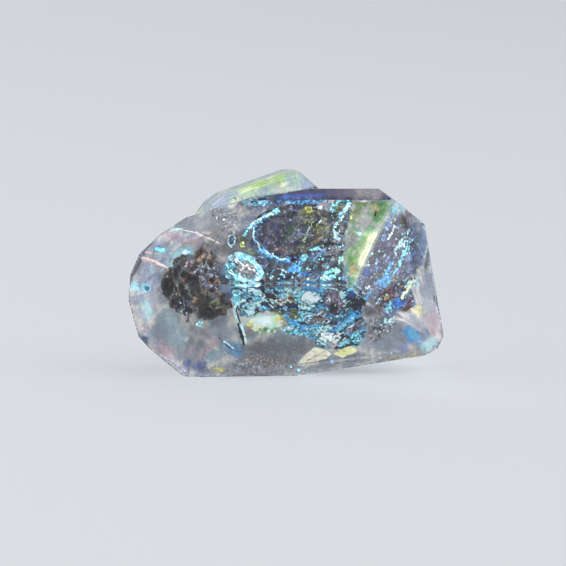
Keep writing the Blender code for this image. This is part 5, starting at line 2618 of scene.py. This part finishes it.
def pockets(sight: Sight) -> list[Inclusion]:
    """Lists the bitumen lump and the oil pockets.

    Args:
        sight: The photograph's view.

    Returns:
        The inclusions, not yet built.
    """
    # Each finish's second number is the strength of its painted glow
    dark = TintedFinish("dark_oil", 0.22, 0.25, 6000, 0.4, 0.01)
    pale = TintedFinish("pale_oil", 0.35, 0.25, 7000, 0.12, 0.01)
    cream = TintedFinish("cream_oil", 0.35, 0.25, 7000, 0.12, 0.01)
    blue = TintedFinish("blue_oil", 0.5, 0.25, 7000, 0.2, 0.01)
    oval = ((0.8, -2.75, 9.7), (3.05, 2.25, 0.6), 59, OVAL_MOTTLE, dark)
    cell = ((-2.75, -3.6, 7.3), (1.35, 1.0, 0.8), 59, CELL_MOTTLE, pale)
    lens = ((-1.3, -3.2, 4.25), (1.35, 0.55, 0.5), 116.5, LENS_MOTTLE, cream, 8, 0.12)
    long = ((1.6, -3.9, 5.9), (1.5, 0.65, 0.5), 116.5, LONG_MOTTLE, blue, 0, 0.16)
    return [
        BitumenLump(sight),
        OilPocket(sight, "oval_oil_detail", "oval_oil_pocket", "dark_oil", *oval),
        AngularPocket(sight, "angular_oil_detail", "angular_oil_pocket", "pale_oil", *cell, ripple=0.0),
        OilPocket(sight, "lens_oil_detail", "lens_oil_pocket", "cream_oil", *lens),
        OilPocket(sight, "long_oil_detail", "long_oil_pocket", "blue_oil", *long),
    ]


def front_inclusions(sight: Sight) -> list[Inclusion]:
    """Lists the veils and the oil that show through the front.

    Args:
        sight: The photograph's view.

    Returns:
        The inclusions, not yet built.
    """
    main_sight = Sight(sight.viewpoint, (MAIN_FORM,))
    small_sight = Sight(sight.viewpoint, (COMPANION_FORM,))
    above = Sight(Viewpoint(elevation=HIGH_VIEW), (COMPANION_FORM,))
    # Each finish's second number is the strength of its painted glow
    haze = VeilFinish("droplet_veil", 0.33, 0.5, 3200, 0.2)
    deep = VeilFinish("deep_veil", 0.25, 0.5, 3200, 0.2, sparse=1.0)
    pale = VeilFinish("companion_veil", 0.3, 0.5, 3200, 0.1)
    film = TintedFinish("oil_film", 0.45, 0.3, 8000, 0.3)
    sheet = VeilFinish("oil_sheet", 0.5, 0.4, 8000, 0.3)
    fleck = TintedFinish("oil_fleck", 0.45, 0.3, 9000, 0.2)
    small_box = ((198, 164), (332, 218))
    top_box = ((176, 150), (336, 262))
    return [
        Veil(main_sight, "front_veil", BODY_MOTTLE, haze, 2.1, longest=0.26 * MM, sinks=VEIL_SINKS),
        Veil(main_sight, "deep_veil", DEEP_MOTTLE, deep, 3.5, pitch=1.8, seed=3, parted=False),
        Veil(
            small_sight, "companion_veil", COMPANION_MOTTLE, pale, 0.5, small_box, 0.6, 0.08, 0.2 * MM
        ),
        Veil(
            above, "companion_top_veil", COMPANION_TOP_MOTTLE, pale, 0.35, top_box, 0.9, 0.1, 0.6 * MM, 7
        ),
        Scatter(sight, "oil_patches", sheet, FRONT_PATCHES),
        # The films hold oil, crack edges and the painted highlights along the outline and in the left end
        Scatter(sight, "films_and_painted_highlights", film, FRONT_FILMS),
        Scatter(sight, "oil_flakes", film, FRONT_FLAKES),
        Scatter(sight, "oil_flecks", fleck, FRONT_CLOUDS),
    ]


def hidden_inclusions() -> list[Inclusion]:
    """Lists what is sealed in the quartz and shows through its back, its top and its ends.

    Returns:
        The inclusions, not yet built.
    """
    behind = Sight(Viewpoint(azimuth=180))
    above = Sight(Viewpoint(elevation=HIGH_VIEW), (MAIN_FORM,))
    # Each finish's second number is the strength of its painted glow
    haze = VeilFinish("hidden_veil", 0.3, 0.5, 3200, 0.2, sparse=0.45)
    healed = VeilFinish("healed_crack", 0.35, 0.45, 5200, 0.25, sparse=0.3)
    fleck = TintedFinish("hidden_fleck", 0.4, 0.3, 9000, 0.3)
    back_box = (LOW_CORNER, HIGH_CORNER)
    top_box = ((124, 130), (444, 284))
    longest = 0.6 * MM
    cracks = [
        HealedFracture(above, f"healed_crack_{number + 1}", *crack, CRACK_MOTTLE, healed, number)
        for number, crack in enumerate(HIDDEN_CRACKS)
    ]
    return [
        Veil(behind, "back_veil", BACK_MOTTLE, haze, 1.7, back_box, 1.5, 0.5, longest, 5, False),
        Veil(above, "top_veil", TOP_MOTTLE, haze, 2.3, top_box, 1.6, 0.6, longest, 6, False),
        *cracks,
        Scatter(behind, "back_flecks", fleck, BACK_CLOUDS),
        Scatter(above, "top_flecks", fleck, TOP_CLOUDS),
    ]


def main() -> None:
    """Builds the pieces in order."""
    logging.basicConfig(level=logging.INFO, format="%(name)s: %(message)s")
    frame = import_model()
    LOG.info("frame has nodes %s", sorted(frame["nodes"]))

    viewpoint = Viewpoint()
    Studio(viewpoint).build()
    LOG.info("studio is set")

    crystal = ClearCrystal().build()
    LOG.info("%s has %d faces", crystal.name, len(crystal.data.polygons))

    sight = Sight(viewpoint)
    for inclusion in [*pockets(sight), *front_inclusions(sight), *hidden_inclusions()]:
        piece = inclusion.build()
        LOG.info("%s is in place", piece.name)

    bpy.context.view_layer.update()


if __name__ == "__main__":
    main()
